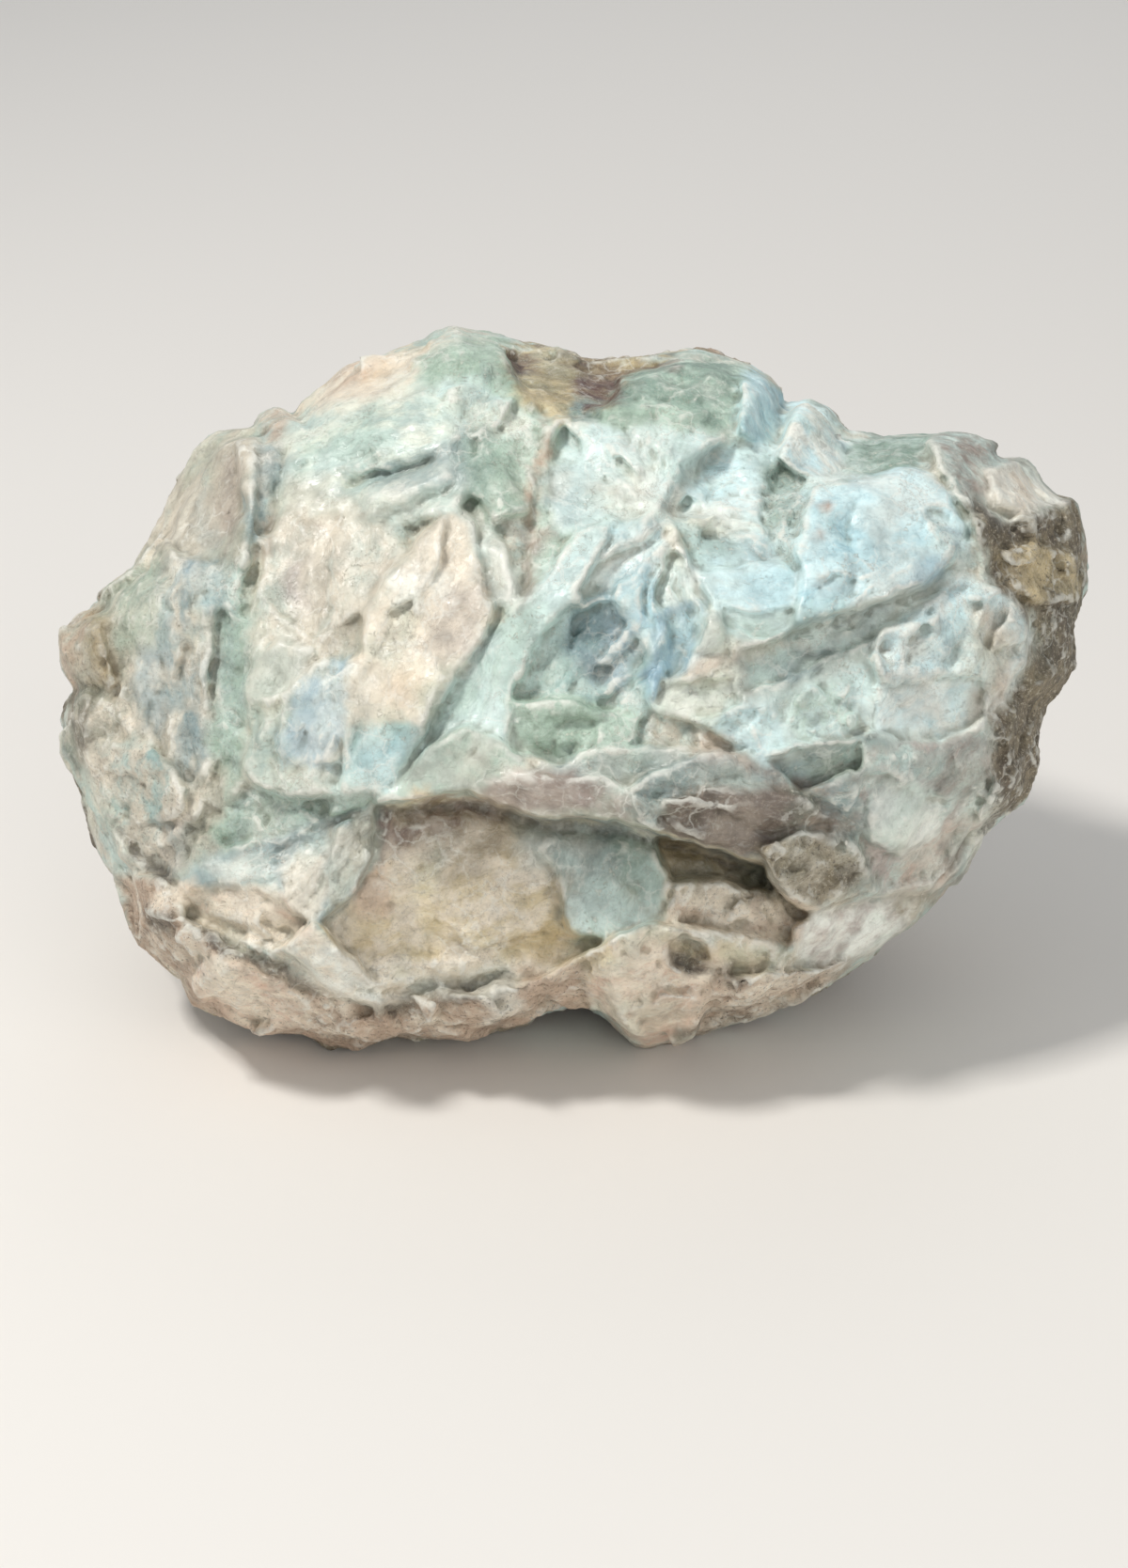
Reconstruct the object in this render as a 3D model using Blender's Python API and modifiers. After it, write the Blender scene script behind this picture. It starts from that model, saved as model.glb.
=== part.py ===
"""Rough larimar: one broken lump of blue pectolite on its dark host rock.

The stone is drawn as it is seen from its show side. Its outline and the marks on its face are sketch
points in tenths of a millimetre, x to the right and y down. A sphere is pushed out to that outline, its
face gets the flat breaks, fans of needles, ledges, cracks and lumps of the sketch, and its hidden side
is chipped by planes. The whole is then leaned back, as the stone lies, and cut off flat where it rests.
"""

import math

import bmesh
import bpy
import numpy as np
from mathutils import Vector, noise

MM = 0.001

# Driving sizes, in millimetres unless a name says otherwise
SKETCH_UNIT = 0.1
SKETCH_MIDDLE = (600, 834)
HEART = (610, 735)
FACE_DEPTH = 29.0
BACK_DEPTH = 37.0
RIM_LEAN = 0.08
PROUD = 1.5
LEAN_DEGREES = 25.0
EYE_DISTANCE = 330.0
REST_HEIGHT = 24.3
MIDDLE_X = 1.05
MIDDLE_Y = 6.22
FORM_CELL = 0.8
SOLID_TRIANGLES = 8600

# The same seed gives the same facets each time
noise.seed_set(7)

# The stone's outline from the show side, clockwise from the knob at its left end
OUTLINE = [
    (64, 690), (70, 668), (85, 655), (100, 648), (108, 628), (120, 618), (143, 603), (155, 583),
    (170, 560), (176, 538), (195, 505), (205, 483), (225, 462), (245, 456), (268, 455), (278, 440),
    (292, 433), (305, 436), (313, 443), (320, 430), (345, 408), (365, 392), (400, 380), (445, 366),
    (462, 354), (482, 348), (500, 353), (525, 356), (560, 366), (600, 372), (620, 382), (633, 386),
    (660, 383), (715, 378), (728, 374), (742, 374), (770, 382), (800, 390), (818, 400), (830, 415),
    (833, 430), (845, 430), (860, 426), (880, 435), (900, 458), (940, 465), (985, 463), (1010, 460),
    (1030, 465), (1048, 475), (1063, 488), (1090, 488), (1098, 498), (1112, 515), (1128, 528),
    (1143, 530), (1147, 550), (1154, 575), (1156, 600), (1159, 618), (1150, 645), (1143, 665),
    (1142, 712), (1125, 735), (1110, 750), (1104, 775), (1100, 800), (1097, 820), (1095, 840),
    (1085, 855), (1065, 870), (1045, 890), (1035, 905), (1025, 925), (1005, 948), (985, 965),
    (965, 985), (940, 1005), (920, 1022), (885, 1045), (850, 1065), (820, 1078), (780, 1088),
    (740, 1100), (710, 1110), (688, 1115), (672, 1110), (655, 1095), (640, 1078), (620, 1067),
    (600, 1070), (575, 1078), (560, 1088), (530, 1097), (500, 1103), (450, 1105), (425, 1103),
    (400, 1108), (380, 1117), (355, 1112), (325, 1100), (280, 1098), (240, 1085), (205, 1065),
    (190, 1040), (170, 1025), (150, 1005), (140, 985), (133, 960), (128, 940), (112, 920),
    (100, 895), (92, 870), (88, 840), (78, 820), (68, 800), (70, 780), (65, 765), (72, 745),
    (80, 733), (70, 715),
]

# How a kind of broken surface looks: cell in mm, stretch along its grain, and height of its facets in mm
KINDS = {
    "smooth": (7.0, 1.8, 0.60),
    "blade": (3.8, 3.2, 1.10),
    "sugar": (3.6, 1.4, 1.05),
    "rock": (3.8, 1.3, 1.50),
}

# Breaks across the face: (name, kind, way of the grain in degrees, lift in mm, rise to the right, rise
# upwards, edge in mm, corners). Each is a plane that touches the plain rounded face at the middle of its
# corners, lifted and tilted. Later ones cut into earlier ones.
BREAKS = [
    ("left flank", "sugar", 82, -1.8, 0.10, 0.0, 2.3,
     [(60, 640), (150, 570), (185, 500), (225, 450), (275, 450), (262, 560), (258, 640), (265, 720),
      (262, 800), (255, 850), (235, 905), (185, 940), (125, 900), (95, 830), (60, 740)]),
    ("flank top", "smooth", 65, -0.8, 0.15, -0.25, 1.4,
     [(165, 560), (205, 470), (265, 440), (258, 540), (240, 600), (190, 600)]),
    ("flank middle", "blade", 85, -1.6, 0.22, 0.05, 1.2,
     [(150, 620), (190, 590), (235, 600), (228, 700), (232, 800), (200, 830), (160, 780), (145, 700)]),
    ("flank edge", "sugar", 80, -2.0, -0.04, 0.0, 1.4,
     [(236, 600), (262, 590), (266, 700), (262, 790), (245, 850), (228, 800), (226, 700)]),
    ("flank low", "sugar", 60, -1.6, 0.10, 0.12, 1.0,
     [(100, 790), (160, 790), (200, 835), (196, 900), (185, 935), (130, 895), (100, 850)]),
    ("folded brow", "smooth", 18, 1.0, 0.05, -0.12, 1.7,
     [(308, 450), (330, 415), (440, 385), (500, 440), (500, 520), (480, 545), (380, 560), (290, 560)]),
    ("brow edge", "smooth", 25, 0.2, 0.0, -0.35, 1.0,
     [(312, 440), (345, 405), (400, 378), (455, 362), (440, 400), (390, 420), (330, 436)]),
    ("banded cheek", "smooth", 86, 0.5, 0.12, 0.0, 1.2,
     [(290, 545), (385, 550), (415, 560), (430, 590), (400, 650), (372, 710), (345, 780), (290, 770),
      (268, 740), (272, 640)]),
    ("cheek low", "smooth", 60, 0.2, 0.20, 0.05, 1.0,
     [(272, 700), (300, 680), (335, 690), (322, 715), (290, 745), (268, 742)]),
    ("grey scab", "sugar", 40, 0.1, 0.0, -0.15, 0.7,
     [(338, 690), (352, 665), (385, 655), (400, 675), (386, 700), (352, 705)]),
    ("blue chip", "blade", 62, 0.9, 0.10, -0.05, 0.7,
     [(300, 745), (340, 700), (376, 695), (364, 760), (360, 812), (300, 815), (292, 790)]),
    ("chip rim", "smooth", 70, 0.1, -0.25, 0.10, 0.7,
     [(262, 818), (275, 775), (300, 745), (292, 790), (296, 838), (275, 838)]),
    ("cream face", "smooth", 60, 1.9, -0.02, 0.02, 0.9,
     [(392, 650), (412, 605), (448, 562), (478, 545), (500, 560), (516, 610), (530, 640), (520, 680),
      (492, 720), (466, 755), (430, 800), (368, 800), (362, 750), (375, 705)]),
    ("cream face low", "smooth", 50, 1.5, 0.05, 0.14, 0.7,
     [(368, 770), (430, 765), (452, 775), (408, 845), (365, 838)]),
    ("green crown", "sugar", 70, 0.4, 0.05, -0.18, 1.4,
     [(440, 385), (500, 350), (560, 370), (575, 450), (572, 540), (520, 560), (490, 520), (485, 470)]),
    ("crown ledge", "sugar", 30, 0.9, 0.0, -0.05, 0.8,
     [(452, 420), (500, 400), (545, 425), (570, 450), (520, 470), (480, 460)]),
    ("green tongue", "blade", 75, 0.7, 0.12, 0.05, 0.8,
     [(500, 545), (520, 560), (545, 600), (556, 640), (542, 655), (520, 640), (512, 600)]),
    ("top notch", "sugar", 0, -3.2, 0.0, -0.25, 0.8,
     [(535, 372), (560, 350), (640, 370), (720, 368), (690, 400), (650, 440), (600, 448), (560, 425)]),
    ("green crest", "sugar", 15, 0.0, -0.05, -0.15, 1.2,
     [(640, 450), (655, 405), (700, 390), (740, 370), (800, 385), (790, 440), (765, 470), (700, 460)]),
    ("crest lobe", "sugar", 20, 0.9, 0.0, 0.10, 0.8,
     [(625, 440), (655, 428), (700, 435), (735, 455), (760, 468), (715, 470), (665, 462)]),
    ("blue knob", "smooth", 80, 0.9, -0.25, -0.1, 0.9,
     [(790, 395), (820, 395), (836, 430), (830, 465), (812, 478), (785, 462)]),
    ("middle field", "sugar", 60, 0.3, 0.0, 0.0, 1.2,
     [(575, 450), (612, 450), (640, 500), (625, 560), (590, 640), (562, 650), (566, 560)]),
    ("pale slab", "blade", -40, 0.8, 0.0, -0.12, 1.0,
     [(600, 450), (700, 452), (762, 470), (735, 500), (705, 545), (640, 575), (590, 560), (582, 500)]),
    ("long slope", "smooth", 55, 1.2, 0.14, 0.05, 0.9,
     [(555, 640), (620, 560), (650, 560), (615, 640), (585, 690), (548, 750), (540, 790), (560, 820),
      (500, 850), (405, 852), (462, 762), (500, 702)]),
    ("slope foot", "smooth", 40, 1.3, 0.02, 0.28, 0.8,
     [(410, 850), (455, 790), (500, 765), (540, 790), (560, 822), (505, 848)]),
    ("splinter field", "blade", 62, 0.8, 0.05, 0.0, 1.0,
     [(620, 640), (650, 560), (705, 545), (745, 600), (760, 650), (740, 700), (690, 760), (650, 700)]),
    ("splinter lens", "blade", 55, 0.3, 0.22, 0.0, 0.6,
     [(612, 632), (640, 598), (690, 575), (695, 605), (660, 625), (632, 640)]),
    ("grey blade", "blade", 80, 0.2, -0.25, 0.0, 0.6,
     [(700, 595), (722, 590), (740, 625), (748, 655), (705, 665), (694, 640)]),
    ("sky bench", "blade", -8, 1.3, 0.0, -0.10, 1.0,
     [(720, 545), (760, 475), (835, 470), (860, 500), (850, 600), (845, 665), (785, 695), (760, 650)]),
    ("bench fan", "blade", -12, 0.8, 0.0, 0.16, 0.7,
     [(715, 560), (755, 550), (805, 568), (840, 596), (800, 604), (752, 610), (735, 600)]),
    ("bench step", "smooth", -5, 1.7, 0.0, -0.06, 0.5,
     [(752, 612), (800, 604), (846, 598), (846, 640), (800, 650), (764, 645)]),
    ("bench riser", "blade", -10, 1.0, 0.0, 0.20, 0.6,
     [(764, 646), (800, 650), (846, 640), (845, 664), (785, 690), (772, 680)]),
    ("grit patch", "rock", 70, 0.4, 0.05, -0.05, 1.0,
     [(808, 520), (832, 480), (860, 500), (905, 508), (900, 560), (905, 610), (870, 630), (835, 600),
      (812, 560)]),
    ("white block", "smooth", 60, 1.2, -0.10, -0.1, 0.9,
     [(822, 480), (850, 425), (885, 435), (912, 470), (895, 505), (860, 505)]),
    ("green saddle", "sugar", 0, -0.8, 0.0, -0.05, 1.0,
     [(895, 500), (905, 455), (990, 455), (985, 500), (930, 510)]),
    ("sky slab", "smooth", 24, 2.1, -0.02, -0.12, 0.9,
     [(860, 520), (925, 505), (975, 495), (1010, 520), (1030, 560), (1022, 592), (980, 618),
      (940, 638), (895, 650), (845, 668), (850, 600)]),
    ("slab crumbs", "sugar", 60, 1.3, -0.15, -0.10, 0.7,
     [(985, 540), (1015, 548), (1028, 572), (1020, 592), (995, 590), (984, 566)]),
    ("brown shoulder", "smooth", -40, -0.6, -0.10, -0.1, 1.2,
     [(985, 455), (1040, 455), (1100, 485), (1150, 530), (1100, 545), (1070, 560), (1030, 540),
      (1000, 500)]),
    ("cream cap", "smooth", -30, 0.2, 0.0, 0.20, 0.8,
     [(1050, 500), (1095, 488), (1125, 525), (1085, 552), (1058, 540)]),
    ("slab recess", "blade", 24, -0.7, 0.0, -0.16, 2.0,
     [(776, 693), (850, 666), (900, 650), (945, 636), (1000, 606), (1026, 585), (1020, 622),
      (965, 640), (932, 672), (925, 702), (870, 722), (820, 740), (785, 745)]),
    ("banded ledge", "blade", 6, 0.9, -0.05, 0.1, 0.8,
     [(688, 752), (742, 690), (762, 645), (776, 693), (785, 745), (800, 760), (730, 768)]),
    ("blue shelf", "smooth", 22, 0.6, 0.0, 0.05, 0.8,
     [(748, 772), (785, 745), (820, 738), (872, 722), (925, 702), (945, 740), (1040, 730), (1045, 770),
      (1000, 788), (930, 780), (870, 792), (815, 808)]),
    ("shelf prow", "smooth", -35, 0.8, -0.10, 0.15, 0.5,
     [(778, 748), (815, 752), (838, 790), (812, 806), (760, 780)]),
    ("shelf flat", "sugar", 20, 0.9, 0.0, -0.08, 0.6,
     [(848, 742), (880, 725), (905, 722), (912, 770), (870, 785), (842, 775)]),
    ("white boss", "sugar", 70, 1.2, -0.08, 0.0, 1.2,
     [(925, 700), (935, 668), (968, 640), (1020, 618), (1062, 620), (1095, 655), (1095, 700),
      (1065, 745), (1040, 775), (945, 740)]),
    ("boss face", "sugar", 45, 1.5, 0.12, 0.10, 0.8,
     [(930, 690), (960, 655), (995, 650), (990, 700), (950, 720)]),
    ("boss low", "smooth", 10, 0.9, 0.0, 0.14, 0.7,
     [(935, 735), (1000, 715), (1045, 725), (1050, 765), (1000, 783), (935, 775)]),
    ("host rock end", "rock", 65, -1.2, -0.25, 0.0, 1.0,
     [(1030, 530), (1070, 560), (1150, 525), (1170, 620), (1150, 740), (1110, 860), (1045, 900),
      (1050, 770), (1098, 700), (1092, 650), (1050, 610), (1040, 570)]),
    ("rock end face", "rock", 75, -0.8, 0.10, -0.20, 0.8,
     [(1062, 590), (1100, 575), (1145, 590), (1150, 640), (1105, 640), (1075, 625)]),
    ("teal hollow", "sugar", 55, -0.7, 0.08, 0.12, 0.9,
     [(560, 700), (600, 645), (660, 640), (690, 700), (695, 755), (680, 800), (620, 815), (555, 800),
      (540, 750)]),
    ("teal floor", "blade", 40, -0.9, 0.10, 0.0, 0.9,
     [(604, 655), (650, 642), (685, 690), (668, 735), (625, 720), (600, 690)]),
    ("teal shelf", "sugar", 20, -0.1, 0.0, 0.25, 0.7,
     [(540, 745), (610, 740), (680, 760), (668, 800), (610, 812), (552, 800)]),
    ("waxy roll", "smooth", -5, 0.8, 0.0, 0.20, 0.9,
     [(560, 822), (620, 800), (700, 790), (770, 800), (740, 830), (660, 842), (600, 832)]),
    ("lilac lip", "smooth", -10, 1.5, 0.0, 0.50, 0.9,
     [(505, 850), (530, 832), (560, 820), (620, 826), (665, 842), (715, 838), (710, 888), (650, 868),
      (590, 868), (545, 862)]),
    ("grey lip", "blade", -16, 0.6, 0.0, 0.42, 0.9,
     [(665, 842), (700, 815), (760, 798), (815, 808), (870, 792), (930, 780), (935, 850), (920, 900),
      (870, 966), (822, 945), (808, 915), (760, 905), (700, 887), (680, 875)]),
    ("lip shard", "blade", -12, 0.9, 0.0, 0.55, 0.7,
     [(705, 850), (780, 835), (850, 842), (880, 870), (830, 888), (800, 910), (740, 896), (700, 880)]),
    ("lip top", "smooth", 10, 0.5, 0.0, 0.60, 0.7,
     [(820, 812), (870, 792), (935, 780), (990, 790), (975, 815), (900, 822), (850, 838)]),
    ("right haunch", "sugar", 60, 0.4, -0.10, 0.30, 1.0,
     [(920, 795), (1000, 784), (1052, 764), (1054, 850), (1000, 940), (940, 955), (915, 900)]),
    ("haunch face", "sugar", 60, 1.0, -0.16, 0.12, 0.7,
     [(930, 840), (975, 832), (1010, 850), (1000, 885), (960, 910), (925, 890)]),
    ("grit lump", "rock", 10, 1.6, 0.0, 0.12, 0.8,
     [(805, 900), (850, 885), (910, 895), (928, 930), (900, 955), (862, 964), (825, 945)]),
    ("hollow", "smooth", 12, -7.0, 0.0, -0.30, 0.5,
     [(402, 856), (440, 848), (505, 846), (545, 862), (590, 868), (650, 868), (700, 887), (760, 905),
      (808, 918), (822, 948), (866, 968), (850, 1000), (760, 985), (700, 985), (620, 1015),
      (600, 1032), (480, 1048), (400, 1058), (350, 1000), (340, 980), (376, 955), (402, 900)]),
    ("hollow wall", "smooth", 80, -6.0, 0.0, -0.44, 0.8,
     [(540, 866), (590, 868), (650, 868), (700, 887), (712, 940), (700, 985), (640, 1000), (604, 990),
      (590, 930)]),
    ("hollow step", "sugar", 20, -3.5, 0.0, -0.30, 1.2,
     [(700, 985), (712, 935), (760, 930), (830, 960), (862, 970), (840, 1005), (760, 990)]),
    ("hollow grit", "rock", 60, -3.4, 0.1, -0.30, 0.8,
     [(800, 945), (825, 948), (862, 970), (845, 1002), (820, 990)]),
    ("hollow side", "smooth", 60, -4.6, 0.55, -0.10, 0.6,
     [(402, 856), (425, 862), (405, 905), (388, 945), (375, 958), (384, 915)]),
    ("undercut", "sugar", 5, -2.1, 0.0, 0.25, 1.0,
     [(262, 838), (300, 842), (404, 848), (398, 885), (350, 868), (300, 890), (240, 905), (225, 880)]),
    ("blue foot", "smooth", 25, -1.4, 0.05, -0.40, 0.7,
     [(190, 942), (235, 903), (300, 888), (350, 866), (404, 852), (398, 905), (374, 958), (340, 982),
      (290, 958), (250, 947)]),
    ("foot blade", "blade", 70, -0.9, -0.20, -0.10, 0.5,
     [(352, 880), (404, 852), (396, 905), (374, 955), (352, 972), (355, 925)]),
    ("lilac foot", "sugar", -10, -1.2, 0.0, 0.20, 1.0,
     [(188, 943), (250, 945), (300, 955), (330, 985), (330, 1020), (270, 1000), (215, 985),
      (190, 962)]),
    ("white rim", "sugar", -25, -0.8, 0.0, 0.15, 1.0,
     [(330, 985), (350, 1000), (400, 1045), (480, 1040), (560, 1028), (602, 1030), (560, 1042),
      (470, 1058), (400, 1068), (350, 1050), (300, 1010)]),
    ("host rock sole", "rock", -10, -0.6, 0.0, 0.20, 1.2,
     [(120, 930), (180, 935), (195, 975), (250, 1008), (320, 1048), (400, 1072), (470, 1060),
      (560, 1045), (612, 1022), (640, 1070), (560, 1110), (400, 1130), (230, 1110), (140, 1010)]),
    ("sole face", "rock", -20, 0.1, 0.0, 0.35, 1.0,
     [(210, 1010), (300, 1040), (330, 1075), (320, 1100), (240, 1085), (205, 1050)]),
    ("right foot", "sugar", 30, 0.6, 0.05, 0.12, 1.0,
     [(612, 1022), (650, 1000), (700, 985), (760, 1000), (790, 1050), (760, 1100), (690, 1125),
      (640, 1080)]),
    ("grey facet", "smooth", 30, -0.3, 0.10, 0.30, 0.5,
     [(690, 1065), (705, 1055), (740, 1062), (738, 1085), (718, 1105), (690, 1112), (678, 1090)]),
    ("foot scoop", "sugar", 0, -0.7, 0.0, -0.10, 0.7,
     [(712, 1005), (728, 998), (756, 1010), (758, 1030), (740, 1036), (716, 1028)]),
    ("pale heel", "smooth", 15, -1.8, -0.05, -0.10, 0.9,
     [(845, 985), (870, 968), (930, 958), (985, 952), (950, 1005), (900, 1030), (850, 1030)]),
    ("heel rock", "rock", 20, -1.0, 0.0, 0.25, 0.9,
     [(762, 1040), (850, 1035), (905, 1025), (850, 1070), (780, 1092), (730, 1100)]),
    ("knob", "rock", 70, 1.5, 0.15, 0.0, 1.0,
     [(55, 690), (75, 650), (102, 645), (116, 690), (122, 722), (100, 740), (70, 730)]),
]

# Ledges: (name, height in mm, reach in mm, points). A ledge stands above the ground on the left of its
# line as it is walked.
LEDGES = [
    ("great lip", 1.7, 3.0,
     [(402, 852), (505, 848), (545, 862), (590, 868), (650, 868), (700, 887), (760, 905), (808, 916),
      (822, 946), (868, 966), (930, 955), (1000, 945)]),
    ("left wall", 1.0, 4.0,
     [(306, 450), (300, 535), (278, 575), (280, 640), (272, 690), (270, 742), (290, 752), (262, 800),
      (258, 825), (290, 850), (400, 850)]),
    ("slab lip", 1.5, 2.0,
     [(776, 693), (845, 666), (895, 648), (940, 636), (980, 618), (1022, 592)]),
    ("shelf lip", 1.4, 3.0,
     [(742, 768), (770, 790), (818, 808), (870, 792), (930, 780), (1000, 788)]),
    ("chip lip", 0.9, 1.6, [(262, 800), (258, 825), (285, 842), (340, 842), (404, 848)]),
    ("cream edge", 0.35, 1.5, [(425, 800), (464, 757), (495, 718), (522, 682)]),
    ("cheek edge", 0.35, 1.5, [(366, 800), (362, 752), (374, 705), (400, 672)]),
    ("bench edge", 0.7, 2.0, [(690, 762), (740, 770), (790, 762)]),
    ("sole crack", 1.2, 3.0,
     [(600, 1030), (520, 1045), (450, 1058), (400, 1068), (345, 1050), (260, 1010), (205, 985),
      (185, 955), (180, 932), (150, 925), (130, 895), (105, 865)]),
    ("foot rim", 0.7, 1.6, [(608, 1035), (640, 1008), (690, 988), (712, 986)]),
]

# Ribs and cracks: (name, height in mm, below nought for a crack, half width in mm, points)
CREASES = [
    ("blue rib", 1.7, 1.7, [(292, 445), (284, 500), (272, 560), (262, 610)]),
    ("rib gutter left", -0.7, 0.9, [(264, 470), (262, 520), (252, 570), (246, 610)]),
    ("rib gutter right", -0.8, 0.8, [(312, 440), (302, 500), (288, 550), (278, 580)]),
    ("flank rib", 0.8, 1.1, [(150, 640), (147, 700), (150, 780)]),
    ("flank gutter", -0.5, 0.8, [(185, 600), (190, 680), (192, 760), (196, 830)]),
    ("flank gutter low", -0.5, 0.8, [(228, 640), (226, 720), (232, 800), (228, 860)]),
    ("flank crack", -0.7, 0.5, [(240, 770), (236, 800), (226, 830)]),
    ("brow fold", -2.4, 0.6, [(360, 522), (372, 519), (405, 510), (455, 489), (470, 484)]),
    ("brow fold roll", 1.1, 1.5, [(380, 535), (430, 522), (485, 500)]),
    ("second fold", -1.3, 0.9, [(395, 556), (440, 540), (488, 512)]),
    ("crown crease", -0.5, 0.7, [(485, 470), (487, 500), (498, 532)]),
    ("band gutter", -0.4, 0.7, [(352, 560), (350, 620), (338, 670)]),
    ("band rib", 0.4, 0.8, [(335, 570), (333, 620), (322, 680)]),
    ("vein crack", -0.6, 0.45, [(576, 455), (570, 520), (563, 575), (561, 625), (545, 655)]),
    ("white blade", 0.8, 0.7, [(505, 575), (530, 595), (548, 625), (545, 655)]),
    ("slope crease", -0.5, 0.45, [(545, 655), (502, 702), (464, 760), (430, 805), (405, 848)]),
    ("diagonal crack", -0.6, 0.5, [(766, 468), (742, 488), (720, 515), (706, 545)]),
    ("white vein", 1.0, 0.8, [(706, 550), (720, 580), (735, 610), (742, 640), (758, 665)]),
    ("vein gutter", -0.5, 0.5, [(716, 560), (736, 590), (752, 640), (766, 670)]),
    ("long splinter", 0.8, 0.7, [(703, 558), (660, 580), (625, 608), (602, 640)]),
    ("middle splinter", 0.7, 0.6, [(706, 570), (692, 600), (682, 630), (668, 655)]),
    ("dark splinter", -0.6, 0.5, [(702, 600), (694, 640), (682, 668), (672, 690)]),
    ("low splinter", 0.8, 0.7, [(716, 590), (724, 620), (712, 655), (690, 705)]),
    ("blue gutter", -0.5, 0.7, [(742, 652), (735, 684), (715, 715), (695, 748)]),
    ("slab seam", -0.7, 0.6, [(908, 520), (900, 560), (912, 600), (902, 645)]),
    ("saddle seam", -0.5, 0.5, [(812, 480), (838, 478), (862, 498), (900, 508), (950, 500), (985, 505)]),
    ("boss seam", -1.0, 0.7, [(1020, 618), (985, 630), (945, 662), (930, 700)]),
    ("haunch seam", -0.5, 0.6, [(1050, 810), (1050, 850), (1020, 905), (1000, 940)]),
    ("lip crack", -1.6, 0.6,
     [(404, 862), (505, 860), (590, 880), (650, 881), (700, 899), (760, 917), (808, 932), (826, 958)]),
    ("lip fold", 0.6, 0.9, [(520, 838), (580, 842), (640, 852), (700, 862)]),
    ("lip gutter", -0.4, 0.7, [(560, 832), (620, 845), (680, 850), (740, 842)]),
    ("host rock crack", -1.4, 0.9, [(1030, 535), (1055, 548), (1085, 575), (1110, 582)]),
    ("hollow corner", -0.7, 0.7, [(402, 905), (412, 880), (440, 858)]),
    ("hollow seam", 0.5, 0.6, [(590, 935), (606, 965), (608, 1000)]),
    ("grit crack", -1.2, 0.7, [(812, 925), (830, 955), (866, 970), (910, 968), (950, 955)]),
    ("sole gutter", -1.4, 0.8,
     [(150, 912), (180, 935), (190, 965), (215, 988), (262, 1012), (320, 1042), (375, 1068)]),
    ("sole gutter right", -1.2, 0.9, [(400, 1062), (450, 1056), (500, 1050), (545, 1038)]),
    ("heel crack", -1.2, 0.8, [(748, 1032), (775, 1030), (790, 1050), (830, 1052), (885, 1028)]),
]

# Fans of needles that have broken into blades: (name, height in mm, reach in mm, blades to a full turn,
# from and to angle in degrees, hub). Angles run counter-clockwise from the right.
FANS = [
    ("centre", 1.6, 15.0, 34, 195, 305, (706, 550)),
    ("bench", 1.3, 14.0, 36, -32, 30, (710, 556)),
    ("pale slab", 1.1, 12.0, 34, 60, 165, (706, 548)),
    ("sky slab", 1.3, 24.0, 60, 14, 56, (822, 700)),
    ("banded ledge", 1.1, 14.0, 40, 8, 66, (686, 758)),
    ("boss", 1.1, 18.0, 44, 15, 95, (925, 778)),
    ("long slope", 1.1, 24.0, 60, 222, 262, (556, 636)),
    ("brow", 0.9, 22.0, 56, 140, 215, (505, 460)),
    ("blue foot", 1.1, 20.0, 54, 190, 262, (408, 848)),
    ("blue chip", 1.1, 16.0, 50, 235, 285, (378, 690)),
    ("flank", 1.1, 34.0, 90, 250, 285, (215, 470)),
    ("cheek", 0.7, 26.0, 66, 245, 290, (352, 540)),
    ("crown", 0.9, 20.0, 50, 235, 300, (520, 370)),
    ("haunch", 1.1, 18.0, 44, 200, 300, (1040, 775)),
]

# Rounded lumps and pits: (name, height in mm, middle, half width, half height, turn in degrees)
LUMPS = [
    ("brow bulge", 1.6, (395, 470), 85, 42, 8),
    ("second roll", 0.8, (430, 530), 60, 18, 22),
    ("cream swell", 0.7, (450, 650), 60, 90, -20),
    ("cream pit", -0.5, (475, 620), 40, 30, 0),
    ("green bead", 0.8, (760, 410), 30, 24, 0),
    ("green bead low", 0.9, (680, 435), 42, 16, 5),
    ("notch pit", -1.6, (640, 410), 26, 22, 0),
    ("notch pit left", -1.2, (552, 388), 16, 18, 0),
    ("blue pocket", -0.8, (715, 690), 26, 44, -20),
    ("teal pocket", -0.5, (630, 670), 32, 24, 0),
    ("teal bead", 0.9, (600, 740), 40, 45, 0),
    ("teal bead low", 0.8, (640, 790), 45, 22, 5),
    ("grit patch", 0.8, (845, 545), 34, 55, 0),
    ("boss swell", 1.0, (1040, 680), 48, 55, 0),
    ("boss pit", -0.5, (1058, 672), 14, 24, -20),
    ("lip swell", 0.9, (850, 840), 60, 30, 10),
    ("haunch swell", 1.0, (960, 870), 55, 50, 0),
    ("foot facet", -0.9, (712, 1072), 28, 24, 0),
    ("heel pit", -0.7, (742, 1010), 26, 13, 10),
    ("heel pit low", -1.2, (785, 1038), 26, 12, 25),
    ("sole lump", 1.0, (350, 1085), 50, 26, 0),
    ("sole lump left", 0.9, (240, 1045), 45, 30, 30),
    ("left bead", 0.8, (90, 770), 22, 20, 0),
    ("left bead low", 0.7, (95, 810), 18, 16, 0),
    ("flank swell", 1.2, (165, 660), 60, 75, 20),
    ("flank dip", -1.0, (232, 690), 22, 110, 5),
    ("flank swell low", 1.2, (170, 820), 65, 60, 0),
]

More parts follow.
